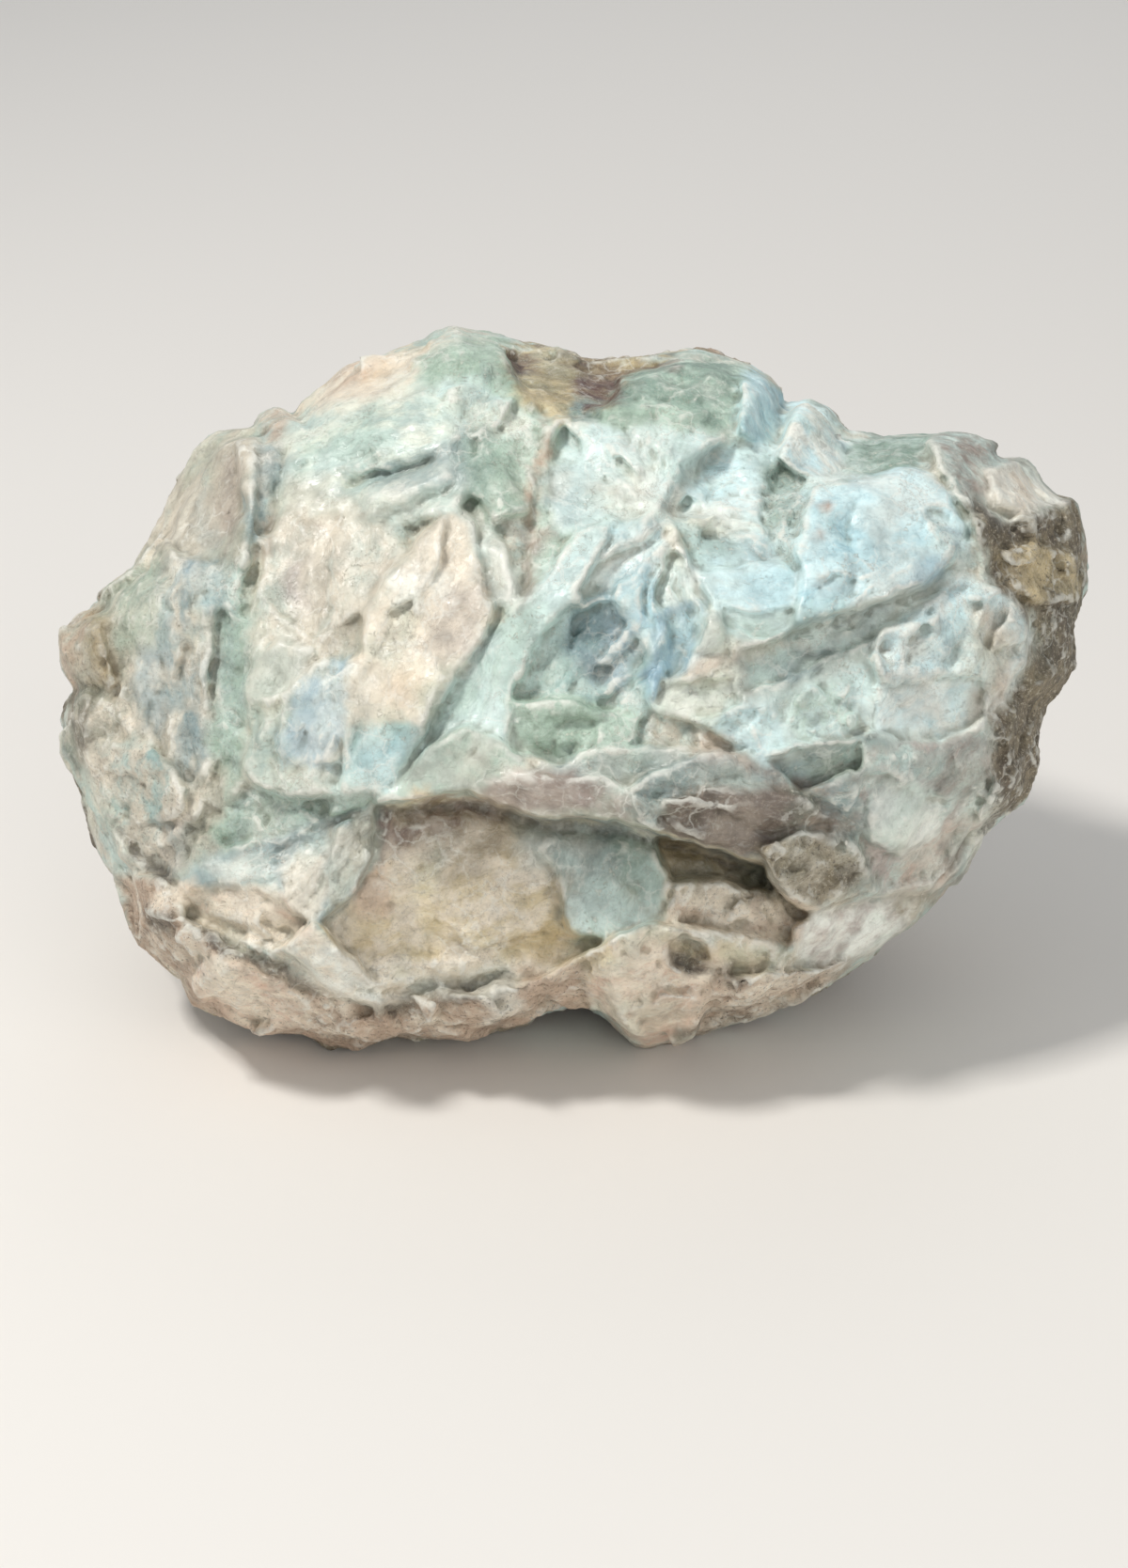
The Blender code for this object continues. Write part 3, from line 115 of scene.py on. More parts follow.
# Breaks across the face: (name, kind, way of the grain in degrees, lift in mm, rise to the right, rise
# upwards, edge in mm, corners). Each is a plane that touches the plain rounded face at the middle of its
# corners, lifted and tilted. Later ones cut into earlier ones.
BREAKS = [
    ("left flank", "sugar", 82, -1.8, 0.10, 0.0, 2.3,
     [(60, 640), (150, 570), (185, 500), (225, 450), (275, 450), (262, 560), (258, 640), (265, 720),
      (262, 800), (255, 850), (235, 905), (185, 940), (125, 900), (95, 830), (60, 740)]),
    ("flank top", "smooth", 65, -0.8, 0.15, -0.25, 1.4,
     [(165, 560), (205, 470), (265, 440), (258, 540), (240, 600), (190, 600)]),
    ("flank middle", "blade", 85, -1.6, 0.22, 0.05, 1.2,
     [(150, 620), (190, 590), (235, 600), (228, 700), (232, 800), (200, 830), (160, 780), (145, 700)]),
    ("flank edge", "sugar", 80, -2.0, -0.04, 0.0, 1.4,
     [(236, 600), (262, 590), (266, 700), (262, 790), (245, 850), (228, 800), (226, 700)]),
    ("flank low", "sugar", 60, -1.6, 0.10, 0.12, 1.0,
     [(100, 790), (160, 790), (200, 835), (196, 900), (185, 935), (130, 895), (100, 850)]),
    ("folded brow", "smooth", 18, 1.0, 0.05, -0.12, 1.7,
     [(308, 450), (330, 415), (440, 385), (500, 440), (500, 520), (480, 545), (380, 560), (290, 560)]),
    ("brow edge", "smooth", 25, 0.2, 0.0, -0.35, 1.0,
     [(312, 440), (345, 405), (400, 378), (455, 362), (440, 400), (390, 420), (330, 436)]),
    ("banded cheek", "smooth", 86, 0.5, 0.12, 0.0, 1.2,
     [(290, 545), (385, 550), (415, 560), (430, 590), (400, 650), (372, 710), (345, 780), (290, 770),
      (268, 740), (272, 640)]),
    ("cheek low", "smooth", 60, 0.2, 0.20, 0.05, 1.0,
     [(272, 700), (300, 680), (335, 690), (322, 715), (290, 745), (268, 742)]),
    ("grey scab", "sugar", 40, 0.1, 0.0, -0.15, 0.7,
     [(338, 690), (352, 665), (385, 655), (400, 675), (386, 700), (352, 705)]),
    ("blue chip", "blade", 62, 0.9, 0.10, -0.05, 0.7,
     [(300, 745), (340, 700), (376, 695), (364, 760), (360, 812), (300, 815), (292, 790)]),
    ("chip rim", "smooth", 70, 0.1, -0.25, 0.10, 0.7,
     [(262, 818), (275, 775), (300, 745), (292, 790), (296, 838), (275, 838)]),
    ("cream face", "smooth", 60, 1.9, -0.02, 0.02, 0.9,
     [(392, 650), (412, 605), (448, 562), (478, 545), (500, 560), (516, 610), (530, 640), (520, 680),
      (492, 720), (466, 755), (430, 800), (368, 800), (362, 750), (375, 705)]),
    ("cream face low", "smooth", 50, 1.5, 0.05, 0.14, 0.7,
     [(368, 770), (430, 765), (452, 775), (408, 845), (365, 838)]),
    ("green crown", "sugar", 70, 0.4, 0.05, -0.18, 1.4,
     [(440, 385), (500, 350), (560, 370), (575, 450), (572, 540), (520, 560), (490, 520), (485, 470)]),
    ("crown ledge", "sugar", 30, 0.9, 0.0, -0.05, 0.8,
     [(452, 420), (500, 400), (545, 425), (570, 450), (520, 470), (480, 460)]),
    ("green tongue", "blade", 75, 0.7, 0.12, 0.05, 0.8,
     [(500, 545), (520, 560), (545, 600), (556, 640), (542, 655), (520, 640), (512, 600)]),
    ("top notch", "sugar", 0, -3.2, 0.0, -0.25, 0.8,
     [(535, 372), (560, 350), (640, 370), (720, 368), (690, 400), (650, 440), (600, 448), (560, 425)]),
    ("green crest", "sugar", 15, 0.0, -0.05, -0.15, 1.2,
     [(640, 450), (655, 405), (700, 390), (740, 370), (800, 385), (790, 440), (765, 470), (700, 460)]),
    ("crest lobe", "sugar", 20, 0.9, 0.0, 0.10, 0.8,
     [(625, 440), (655, 428), (700, 435), (735, 455), (760, 468), (715, 470), (665, 462)]),
    ("blue knob", "smooth", 80, 0.9, -0.25, -0.1, 0.9,
     [(790, 395), (820, 395), (836, 430), (830, 465), (812, 478), (785, 462)]),
    ("middle field", "sugar", 60, 0.3, 0.0, 0.0, 1.2,
     [(575, 450), (612, 450), (640, 500), (625, 560), (590, 640), (562, 650), (566, 560)]),
    ("pale slab", "blade", -40, 0.8, 0.0, -0.12, 1.0,
     [(600, 450), (700, 452), (762, 470), (735, 500), (705, 545), (640, 575), (590, 560), (582, 500)]),
    ("long slope", "smooth", 55, 1.2, 0.14, 0.05, 0.9,
     [(555, 640), (620, 560), (650, 560), (615, 640), (585, 690), (548, 750), (540, 790), (560, 820),
      (500, 850), (405, 852), (462, 762), (500, 702)]),
    ("slope foot", "smooth", 40, 1.3, 0.02, 0.28, 0.8,
     [(410, 850), (455, 790), (500, 765), (540, 790), (560, 822), (505, 848)]),
    ("splinter field", "blade", 62, 0.8, 0.05, 0.0, 1.0,
     [(620, 640), (650, 560), (705, 545), (745, 600), (760, 650), (740, 700), (690, 760), (650, 700)]),
    ("splinter lens", "blade", 55, 0.3, 0.22, 0.0, 0.6,
     [(612, 632), (640, 598), (690, 575), (695, 605), (660, 625), (632, 640)]),
    ("grey blade", "blade", 80, 0.2, -0.25, 0.0, 0.6,
     [(700, 595), (722, 590), (740, 625), (748, 655), (705, 665), (694, 640)]),
    ("sky bench", "blade", -8, 1.3, 0.0, -0.10, 1.0,
     [(720, 545), (760, 475), (835, 470), (860, 500), (850, 600), (845, 665), (785, 695), (760, 650)]),
    ("bench fan", "blade", -12, 0.8, 0.0, 0.16, 0.7,
     [(715, 560), (755, 550), (805, 568), (840, 596), (800, 604), (752, 610), (735, 600)]),
    ("bench step", "smooth", -5, 1.7, 0.0, -0.06, 0.5,
     [(752, 612), (800, 604), (846, 598), (846, 640), (800, 650), (764, 645)]),
    ("bench riser", "blade", -10, 1.0, 0.0, 0.20, 0.6,
     [(764, 646), (800, 650), (846, 640), (845, 664), (785, 690), (772, 680)]),
    ("grit patch", "rock", 70, 0.4, 0.05, -0.05, 1.0,
     [(808, 520), (832, 480), (860, 500), (905, 508), (900, 560), (905, 610), (870, 630), (835, 600),
      (812, 560)]),
    ("white block", "smooth", 60, 1.2, -0.10, -0.1, 0.9,
     [(822, 480), (850, 425), (885, 435), (912, 470), (895, 505), (860, 505)]),
    ("green saddle", "sugar", 0, -0.8, 0.0, -0.05, 1.0,
     [(895, 500), (905, 455), (990, 455), (985, 500), (930, 510)]),
    ("sky slab", "smooth", 24, 2.1, -0.02, -0.12, 0.9,
     [(860, 520), (925, 505), (975, 495), (1010, 520), (1030, 560), (1022, 592), (980, 618),
      (940, 638), (895, 650), (845, 668), (850, 600)]),
    ("slab crumbs", "sugar", 60, 1.3, -0.15, -0.10, 0.7,
     [(985, 540), (1015, 548), (1028, 572), (1020, 592), (995, 590), (984, 566)]),
    ("brown shoulder", "smooth", -40, -0.6, -0.10, -0.1, 1.2,
     [(985, 455), (1040, 455), (1100, 485), (1150, 530), (1100, 545), (1070, 560), (1030, 540),
      (1000, 500)]),
    ("cream cap", "smooth", -30, 0.2, 0.0, 0.20, 0.8,
     [(1050, 500), (1095, 488), (1125, 525), (1085, 552), (1058, 540)]),
    ("slab recess", "blade", 24, -0.7, 0.0, -0.16, 2.0,
     [(776, 693), (850, 666), (900, 650), (945, 636), (1000, 606), (1026, 585), (1020, 622),
      (965, 640), (932, 672), (925, 702), (870, 722), (820, 740), (785, 745)]),
    ("banded ledge", "blade", 6, 0.9, -0.05, 0.1, 0.8,
     [(688, 752), (742, 690), (762, 645), (776, 693), (785, 745), (800, 760), (730, 768)]),
    ("blue shelf", "smooth", 22, 0.6, 0.0, 0.05, 0.8,
     [(748, 772), (785, 745), (820, 738), (872, 722), (925, 702), (945, 740), (1040, 730), (1045, 770),
      (1000, 788), (930, 780), (870, 792), (815, 808)]),
    ("shelf prow", "smooth", -35, 0.8, -0.10, 0.15, 0.5,
     [(778, 748), (815, 752), (838, 790), (812, 806), (760, 780)]),
    ("shelf flat", "sugar", 20, 0.9, 0.0, -0.08, 0.6,
     [(848, 742), (880, 725), (905, 722), (912, 770), (870, 785), (842, 775)]),
    ("white boss", "sugar", 70, 1.2, -0.08, 0.0, 1.2,
     [(925, 700), (935, 668), (968, 640), (1020, 618), (1062, 620), (1095, 655), (1095, 700),
      (1065, 745), (1040, 775), (945, 740)]),
    ("boss face", "sugar", 45, 1.5, 0.12, 0.10, 0.8,
     [(930, 690), (960, 655), (995, 650), (990, 700), (950, 720)]),
    ("boss low", "smooth", 10, 0.9, 0.0, 0.14, 0.7,
     [(935, 735), (1000, 715), (1045, 725), (1050, 765), (1000, 783), (935, 775)]),
    ("host rock end", "rock", 65, -1.2, -0.25, 0.0, 1.0,
     [(1030, 530), (1070, 560), (1150, 525), (1170, 620), (1150, 740), (1110, 860), (1045, 900),
      (1050, 770), (1098, 700), (1092, 650), (1050, 610), (1040, 570)]),
    ("rock end face", "rock", 75, -0.8, 0.10, -0.20, 0.8,
     [(1062, 590), (1100, 575), (1145, 590), (1150, 640), (1105, 640), (1075, 625)]),
    ("teal hollow", "sugar", 55, -0.7, 0.08, 0.12, 0.9,
     [(560, 700), (600, 645), (660, 640), (690, 700), (695, 755), (680, 800), (620, 815), (555, 800),
      (540, 750)]),
    ("teal floor", "blade", 40, -0.9, 0.10, 0.0, 0.9,
     [(604, 655), (650, 642), (685, 690), (668, 735), (625, 720), (600, 690)]),
    ("teal shelf", "sugar", 20, -0.1, 0.0, 0.25, 0.7,
     [(540, 745), (610, 740), (680, 760), (668, 800), (610, 812), (552, 800)]),
    ("waxy roll", "smooth", -5, 0.8, 0.0, 0.20, 0.9,
     [(560, 822), (620, 800), (700, 790), (770, 800), (740, 830), (660, 842), (600, 832)]),
    ("lilac lip", "smooth", -10, 1.5, 0.0, 0.50, 0.9,
     [(505, 850), (530, 832), (560, 820), (620, 826), (665, 842), (715, 838), (710, 888), (650, 868),
      (590, 868), (545, 862)]),
    ("grey lip", "blade", -16, 0.6, 0.0, 0.42, 0.9,
     [(665, 842), (700, 815), (760, 798), (815, 808), (870, 792), (930, 780), (935, 850), (920, 900),
      (870, 966), (822, 945), (808, 915), (760, 905), (700, 887), (680, 875)]),
    ("lip shard", "blade", -12, 0.9, 0.0, 0.55, 0.7,
     [(705, 850), (780, 835), (850, 842), (880, 870), (830, 888), (800, 910), (740, 896), (700, 880)]),
    ("lip top", "smooth", 10, 0.5, 0.0, 0.60, 0.7,
     [(820, 812), (870, 792), (935, 780), (990, 790), (975, 815), (900, 822), (850, 838)]),
    ("right haunch", "sugar", 60, 0.4, -0.10, 0.30, 1.0,
     [(920, 795), (1000, 784), (1052, 764), (1054, 850), (1000, 940), (940, 955), (915, 900)]),
    ("haunch face", "sugar", 60, 1.0, -0.16, 0.12, 0.7,
     [(930, 840), (975, 832), (1010, 850), (1000, 885), (960, 910), (925, 890)]),
    ("grit lump", "rock", 10, 1.6, 0.0, 0.12, 0.8,
     [(805, 900), (850, 885), (910, 895), (928, 930), (900, 955), (862, 964), (825, 945)]),
    ("hollow", "smooth", 12, -7.0, 0.0, -0.30, 0.5,
     [(402, 856), (440, 848), (505, 846), (545, 862), (590, 868), (650, 868), (700, 887), (760, 905),
      (808, 918), (822, 948), (866, 968), (850, 1000), (760, 985), (700, 985), (620, 1015),
      (600, 1032), (480, 1048), (400, 1058), (350, 1000), (340, 980), (376, 955), (402, 900)]),
    ("hollow wall", "smooth", 80, -6.0, 0.0, -0.44, 0.8,
     [(540, 866), (590, 868), (650, 868), (700, 887), (712, 940), (700, 985), (640, 1000), (604, 990),
      (590, 930)]),
    ("hollow step", "sugar", 20, -3.5, 0.0, -0.30, 1.2,
     [(700, 985), (712, 935), (760, 930), (830, 960), (862, 970), (840, 1005), (760, 990)]),
    ("hollow grit", "rock", 60, -3.4, 0.1, -0.30, 0.8,
     [(800, 945), (825, 948), (862, 970), (845, 1002), (820, 990)]),
    ("hollow side", "smooth", 60, -4.6, 0.55, -0.10, 0.6,
     [(402, 856), (425, 862), (405, 905), (388, 945), (375, 958), (384, 915)]),
    ("undercut", "sugar", 5, -2.1, 0.0, 0.25, 1.0,
     [(262, 838), (300, 842), (404, 848), (398, 885), (350, 868), (300, 890), (240, 905), (225, 880)]),
    ("blue foot", "smooth", 25, -1.4, 0.05, -0.40, 0.7,
     [(190, 942), (235, 903), (300, 888), (350, 866), (404, 852), (398, 905), (374, 958), (340, 982),
      (290, 958), (250, 947)]),
    ("foot blade", "blade", 70, -0.9, -0.20, -0.10, 0.5,
     [(352, 880), (404, 852), (396, 905), (374, 955), (352, 972), (355, 925)]),
    ("lilac foot", "sugar", -10, -1.2, 0.0, 0.20, 1.0,
     [(188, 943), (250, 945), (300, 955), (330, 985), (330, 1020), (270, 1000), (215, 985),
      (190, 962)]),
    ("white rim", "sugar", -25, -0.8, 0.0, 0.15, 1.0,
     [(330, 985), (350, 1000), (400, 1045), (480, 1040), (560, 1028), (602, 1030), (560, 1042),
      (470, 1058), (400, 1068), (350, 1050), (300, 1010)]),
    ("host rock sole", "rock", -10, -0.6, 0.0, 0.20, 1.2,
     [(120, 930), (180, 935), (195, 975), (250, 1008), (320, 1048), (400, 1072), (470, 1060),
      (560, 1045), (612, 1022), (640, 1070), (560, 1110), (400, 1130), (230, 1110), (140, 1010)]),
    ("sole face", "rock", -20, 0.1, 0.0, 0.35, 1.0,
     [(210, 1010), (300, 1040), (330, 1075), (320, 1100), (240, 1085), (205, 1050)]),
    ("right foot", "sugar", 30, 0.6, 0.05, 0.12, 1.0,
     [(612, 1022), (650, 1000), (700, 985), (760, 1000), (790, 1050), (760, 1100), (690, 1125),
      (640, 1080)]),
    ("grey facet", "smooth", 30, -0.3, 0.10, 0.30, 0.5,
     [(690, 1065), (705, 1055), (740, 1062), (738, 1085), (718, 1105), (690, 1112), (678, 1090)]),
    ("foot scoop", "sugar", 0, -0.7, 0.0, -0.10, 0.7,
     [(712, 1005), (728, 998), (756, 1010), (758, 1030), (740, 1036), (716, 1028)]),
    ("pale heel", "smooth", 15, -1.8, -0.05, -0.10, 0.9,
     [(845, 985), (870, 968), (930, 958), (985, 952), (950, 1005), (900, 1030), (850, 1030)]),
    ("heel rock", "rock", 20, -1.0, 0.0, 0.25, 0.9,
     [(762, 1040), (850, 1035), (905, 1025), (850, 1070), (780, 1092), (730, 1100)]),
    ("knob", "rock", 70, 1.5, 0.15, 0.0, 1.0,
     [(55, 690), (75, 650), (102, 645), (116, 690), (122, 722), (100, 740), (70, 730)]),
]

# Ledges: (name, height in mm, reach in mm, points). A ledge stands above the ground on the left of its
# line as it is walked.
LEDGES = [
    ("great lip", 1.7, 3.0,
     [(402, 852), (505, 848), (545, 862), (590, 868), (650, 868), (700, 887), (760, 905), (808, 916),
      (822, 946), (868, 966), (930, 955), (1000, 945)]),
    ("left wall", 1.0, 4.0,
     [(306, 450), (300, 535), (278, 575), (280, 640), (272, 690), (270, 742), (290, 752), (262, 800),
      (258, 825), (290, 850), (400, 850)]),
    ("slab lip", 1.5, 2.0,
     [(776, 693), (845, 666), (895, 648), (940, 636), (980, 618), (1022, 592)]),
    ("shelf lip", 1.4, 3.0,
     [(742, 768), (770, 790), (818, 808), (870, 792), (930, 780), (1000, 788)]),
    ("chip lip", 0.9, 1.6, [(262, 800), (258, 825), (285, 842), (340, 842), (404, 848)]),
    ("cream edge", 0.35, 1.5, [(425, 800), (464, 757), (495, 718), (522, 682)]),
    ("cheek edge", 0.35, 1.5, [(366, 800), (362, 752), (374, 705), (400, 672)]),
    ("bench edge", 0.7, 2.0, [(690, 762), (740, 770), (790, 762)]),
    ("sole crack", 1.2, 3.0,
     [(600, 1030), (520, 1045), (450, 1058), (400, 1068), (345, 1050), (260, 1010), (205, 985),
      (185, 955), (180, 932), (150, 925), (130, 895), (105, 865)]),
    ("foot rim", 0.7, 1.6, [(608, 1035), (640, 1008), (690, 988), (712, 986)]),
]

# Ribs and cracks: (name, height in mm, below nought for a crack, half width in mm, points)
CREASES = [
    ("blue rib", 1.7, 1.7, [(292, 445), (284, 500), (272, 560), (262, 610)]),
    ("rib gutter left", -0.7, 0.9, [(264, 470), (262, 520), (252, 570), (246, 610)]),
    ("rib gutter right", -0.8, 0.8, [(312, 440), (302, 500), (288, 550), (278, 580)]),
    ("flank rib", 0.8, 1.1, [(150, 640), (147, 700), (150, 780)]),
    ("flank gutter", -0.5, 0.8, [(185, 600), (190, 680), (192, 760), (196, 830)]),
    ("flank gutter low", -0.5, 0.8, [(228, 640), (226, 720), (232, 800), (228, 860)]),
    ("flank crack", -0.7, 0.5, [(240, 770), (236, 800), (226, 830)]),
    ("brow fold", -2.4, 0.6, [(360, 522), (372, 519), (405, 510), (455, 489), (470, 484)]),
    ("brow fold roll", 1.1, 1.5, [(380, 535), (430, 522), (485, 500)]),
    ("second fold", -1.3, 0.9, [(395, 556), (440, 540), (488, 512)]),
    ("crown crease", -0.5, 0.7, [(485, 470), (487, 500), (498, 532)]),
    ("band gutter", -0.4, 0.7, [(352, 560), (350, 620), (338, 670)]),
    ("band rib", 0.4, 0.8, [(335, 570), (333, 620), (322, 680)]),
    ("vein crack", -0.6, 0.45, [(576, 455), (570, 520), (563, 575), (561, 625), (545, 655)]),
    ("white blade", 0.8, 0.7, [(505, 575), (530, 595), (548, 625), (545, 655)]),
    ("slope crease", -0.5, 0.45, [(545, 655), (502, 702), (464, 760), (430, 805), (405, 848)]),
    ("diagonal crack", -0.6, 0.5, [(766, 468), (742, 488), (720, 515), (706, 545)]),
    ("white vein", 1.0, 0.8, [(706, 550), (720, 580), (735, 610), (742, 640), (758, 665)]),
    ("vein gutter", -0.5, 0.5, [(716, 560), (736, 590), (752, 640), (766, 670)]),
    ("long splinter", 0.8, 0.7, [(703, 558), (660, 580), (625, 608), (602, 640)]),
    ("middle splinter", 0.7, 0.6, [(706, 570), (692, 600), (682, 630), (668, 655)]),
    ("dark splinter", -0.6, 0.5, [(702, 600), (694, 640), (682, 668), (672, 690)]),
    ("low splinter", 0.8, 0.7, [(716, 590), (724, 620), (712, 655), (690, 705)]),
    ("blue gutter", -0.5, 0.7, [(742, 652), (735, 684), (715, 715), (695, 748)]),
    ("slab seam", -0.7, 0.6, [(908, 520), (900, 560), (912, 600), (902, 645)]),
    ("saddle seam", -0.5, 0.5, [(812, 480), (838, 478), (862, 498), (900, 508), (950, 500), (985, 505)]),
    ("boss seam", -1.0, 0.7, [(1020, 618), (985, 630), (945, 662), (930, 700)]),
    ("haunch seam", -0.5, 0.6, [(1050, 810), (1050, 850), (1020, 905), (1000, 940)]),
    ("lip crack", -1.6, 0.6,
     [(404, 862), (505, 860), (590, 880), (650, 881), (700, 899), (760, 917), (808, 932), (826, 958)]),
    ("lip fold", 0.6, 0.9, [(520, 838), (580, 842), (640, 852), (700, 862)]),
    ("lip gutter", -0.4, 0.7, [(560, 832), (620, 845), (680, 850), (740, 842)]),
    ("host rock crack", -1.4, 0.9, [(1030, 535), (1055, 548), (1085, 575), (1110, 582)]),
    ("hollow corner", -0.7, 0.7, [(402, 905), (412, 880), (440, 858)]),
    ("hollow seam", 0.5, 0.6, [(590, 935), (606, 965), (608, 1000)]),
    ("grit crack", -1.2, 0.7, [(812, 925), (830, 955), (866, 970), (910, 968), (950, 955)]),
    ("sole gutter", -1.4, 0.8,
     [(150, 912), (180, 935), (190, 965), (215, 988), (262, 1012), (320, 1042), (375, 1068)]),
    ("sole gutter right", -1.2, 0.9, [(400, 1062), (450, 1056), (500, 1050), (545, 1038)]),
    ("heel crack", -1.2, 0.8, [(748, 1032), (775, 1030), (790, 1050), (830, 1052), (885, 1028)]),
]

# Fans of needles that have broken into blades: (name, height in mm, reach in mm, blades to a full turn,
# from and to angle in degrees, hub). Angles run counter-clockwise from the right.
FANS = [
    ("centre", 1.6, 15.0, 34, 195, 305, (706, 550)),
    ("bench", 1.3, 14.0, 36, -32, 30, (710, 556)),
    ("pale slab", 1.1, 12.0, 34, 60, 165, (706, 548)),
    ("sky slab", 1.3, 24.0, 60, 14, 56, (822, 700)),
    ("banded ledge", 1.1, 14.0, 40, 8, 66, (686, 758)),
    ("boss", 1.1, 18.0, 44, 15, 95, (925, 778)),
    ("long slope", 1.1, 24.0, 60, 222, 262, (556, 636)),
    ("brow", 0.9, 22.0, 56, 140, 215, (505, 460)),
    ("blue foot", 1.1, 20.0, 54, 190, 262, (408, 848)),
    ("blue chip", 1.1, 16.0, 50, 235, 285, (378, 690)),
    ("flank", 1.1, 34.0, 90, 250, 285, (215, 470)),
    ("cheek", 0.7, 26.0, 66, 245, 290, (352, 540)),
    ("crown", 0.9, 20.0, 50, 235, 300, (520, 370)),
    ("haunch", 1.1, 18.0, 44, 200, 300, (1040, 775)),
]

# Rounded lumps and pits: (name, height in mm, middle, half width, half height, turn in degrees)
LUMPS = [
    ("brow bulge", 1.6, (395, 470), 85, 42, 8),
    ("second roll", 0.8, (430, 530), 60, 18, 22),
    ("cream swell", 0.7, (450, 650), 60, 90, -20),
    ("cream pit", -0.5, (475, 620), 40, 30, 0),
    ("green bead", 0.8, (760, 410), 30, 24, 0),
    ("green bead low", 0.9, (680, 435), 42, 16, 5),
    ("notch pit", -1.6, (640, 410), 26, 22, 0),
    ("notch pit left", -1.2, (552, 388), 16, 18, 0),
    ("blue pocket", -0.8, (715, 690), 26, 44, -20),
    ("teal pocket", -0.5, (630, 670), 32, 24, 0),
    ("teal bead", 0.9, (600, 740), 40, 45, 0),
    ("teal bead low", 0.8, (640, 790), 45, 22, 5),
    ("grit patch", 0.8, (845, 545), 34, 55, 0),
    ("boss swell", 1.0, (1040, 680), 48, 55, 0),
    ("boss pit", -0.5, (1058, 672), 14, 24, -20),
    ("lip swell", 0.9, (850, 840), 60, 30, 10),
    ("haunch swell", 1.0, (960, 870), 55, 50, 0),
    ("foot facet", -0.9, (712, 1072), 28, 24, 0),
    ("heel pit", -0.7, (742, 1010), 26, 13, 10),
    ("heel pit low", -1.2, (785, 1038), 26, 12, 25),
    ("sole lump", 1.0, (350, 1085), 50, 26, 0),
    ("sole lump left", 0.9, (240, 1045), 45, 30, 30),
    ("left bead", 0.8, (90, 770), 22, 20, 0),
    ("left bead low", 0.7, (95, 810), 18, 16, 0),
    ("flank swell", 1.2, (165, 660), 60, 75, 20),
    ("flank dip", -1.0, (232, 690), 22, 110, 5),
    ("flank swell low", 1.2, (170, 820), 65, 60, 0),
]

# Chips off the hidden side: (name, way it faces as right, up and back, distance from the heart in mm)
CHIPS = [
    ("back", (0.10, 0.10, 1.0), 29.0),
    ("upper back", (-0.10, 0.75, 0.70), 34.0),
    ("lower back", (0.12, -0.30, 0.95), 33.5),
    ("left back", (-0.85, 0.05, 0.65), 43.0),
    ("right back", (0.90, 0.15, 0.55), 45.5),
    ("upper left back", (-0.55, 0.60, 0.65), 36.0),
    ("lower right back", (0.62, -0.40, 0.70), 38.0),
    ("lower left back", (-0.55, -0.50, 0.65), 38.0),
    ("upper right back", (0.55, 0.62, 0.62), 37.0),
    ("underside", (0.0, -0.906, 0.423), 32.4),
    ("left underside", (-0.42, -0.85, 0.33), 36.5),
    ("right underside", (0.45, -0.84, 0.30), 37.0),
]

# Swellings on the hidden side: (name, height in mm, reach in mm, middle as right, up and back)
HIDDEN_LUMPS = [
    ("rear foot", 2.4, 11.0, (6.0, -23.0, 27.0)),
    ("left heel", 1.2, 9.0, (-22.0, -27.0, 12.0)),
    ("back boss", 2.5, 12.0, (-20.0, 8.0, 28.0)),
    ("back boss right", 2.0, 13.0, (26.0, 2.0, 26.0)),
    ("back dip", -2.2, 11.0, (4.0, 4.0, 32.0)),
    ("back dip left", -1.8, 9.0, (-38.0, -4.0, 18.0)),
]


def smooth_step(values, low, high):
    """0 below low, 1 above high, and a soft S between."""
    share = np.clip((values - low) / (high - low), 0.0, 1.0)
    return share * share * (3.0 - 2.0 * share)


def noise_field(points, size, octaves, shift=0.0):
    """Fractal noise, about -1 to 1, whose largest lumps are size across. Points and size share a unit."""
    scaled = points / size + shift
    return np.array([noise.fractal(Vector(p), 0.9, 2.1, octaves) for p in scaled])


def hackle_field(points, size, shift=0.0):
    """Small tilted planes, one to a cell, as on a rough break. The result is about -1 to 1."""
    found = np.empty(len(points))
    for i, p in enumerate(points / size + shift):
        cell = noise.voronoi(Vector(p))[1][0]
        tilt = noise.noise_vector(cell * 7.3)
        found[i] = 3.2 * tilt.dot(Vector(p) - cell) + 0.4 * noise.noise(cell * 5.1)
    return np.where(found < 0.0, 0.4 * np.tanh(found / 0.4), found)


def outline_radius():
    """The outline's angle and radius about the heart, sorted and closed, and a smoothed radius."""
    offset = (np.array(OUTLINE, float) - HEART) * (SKETCH_UNIT, -SKETCH_UNIT)
    angle = np.arctan2(offset[:, 1], offset[:, 0])
    radius = np.hypot(offset[:, 0], offset[:, 1])
    order = np.argsort(angle)
    angle, radius = angle[order], radius[order]
    grid = np.linspace(-math.pi, math.pi, 721)
    sharp = np.interp(grid, angle, radius, period=2 * math.pi)
    reach = np.arange(-48, 49)
    weights = np.exp(-((reach / 20.0) ** 2))
    smooth = sum(w * np.roll(sharp[:-1], r) for w, r in zip(weights, reach)) / weights.sum()
    return grid, sharp, np.append(smooth, smooth[0])


GRID, SHARP, SMOOTH = outline_radius()


def plain_depth(x, y):
    """Depth of the plain rounded face under sketch points, in mm towards the viewer."""
    across = (x - HEART[0]) * SKETCH_UNIT
    up = (HEART[1] - y) * SKETCH_UNIT
    limit = np.interp(np.arctan2(up, across), GRID, SHARP)
    inside = np.clip(np.hypot(across, up) / limit, 0.0, 1.0)
    return FACE_DEPTH * np.sqrt(1.0 - inside**2) ** 0.8


def edges_of(line, closed):
    ends = line[1:] + line[:1] if closed else line[1:]
    starts = line if closed else line[:-1]
    return list(zip(starts, ends))


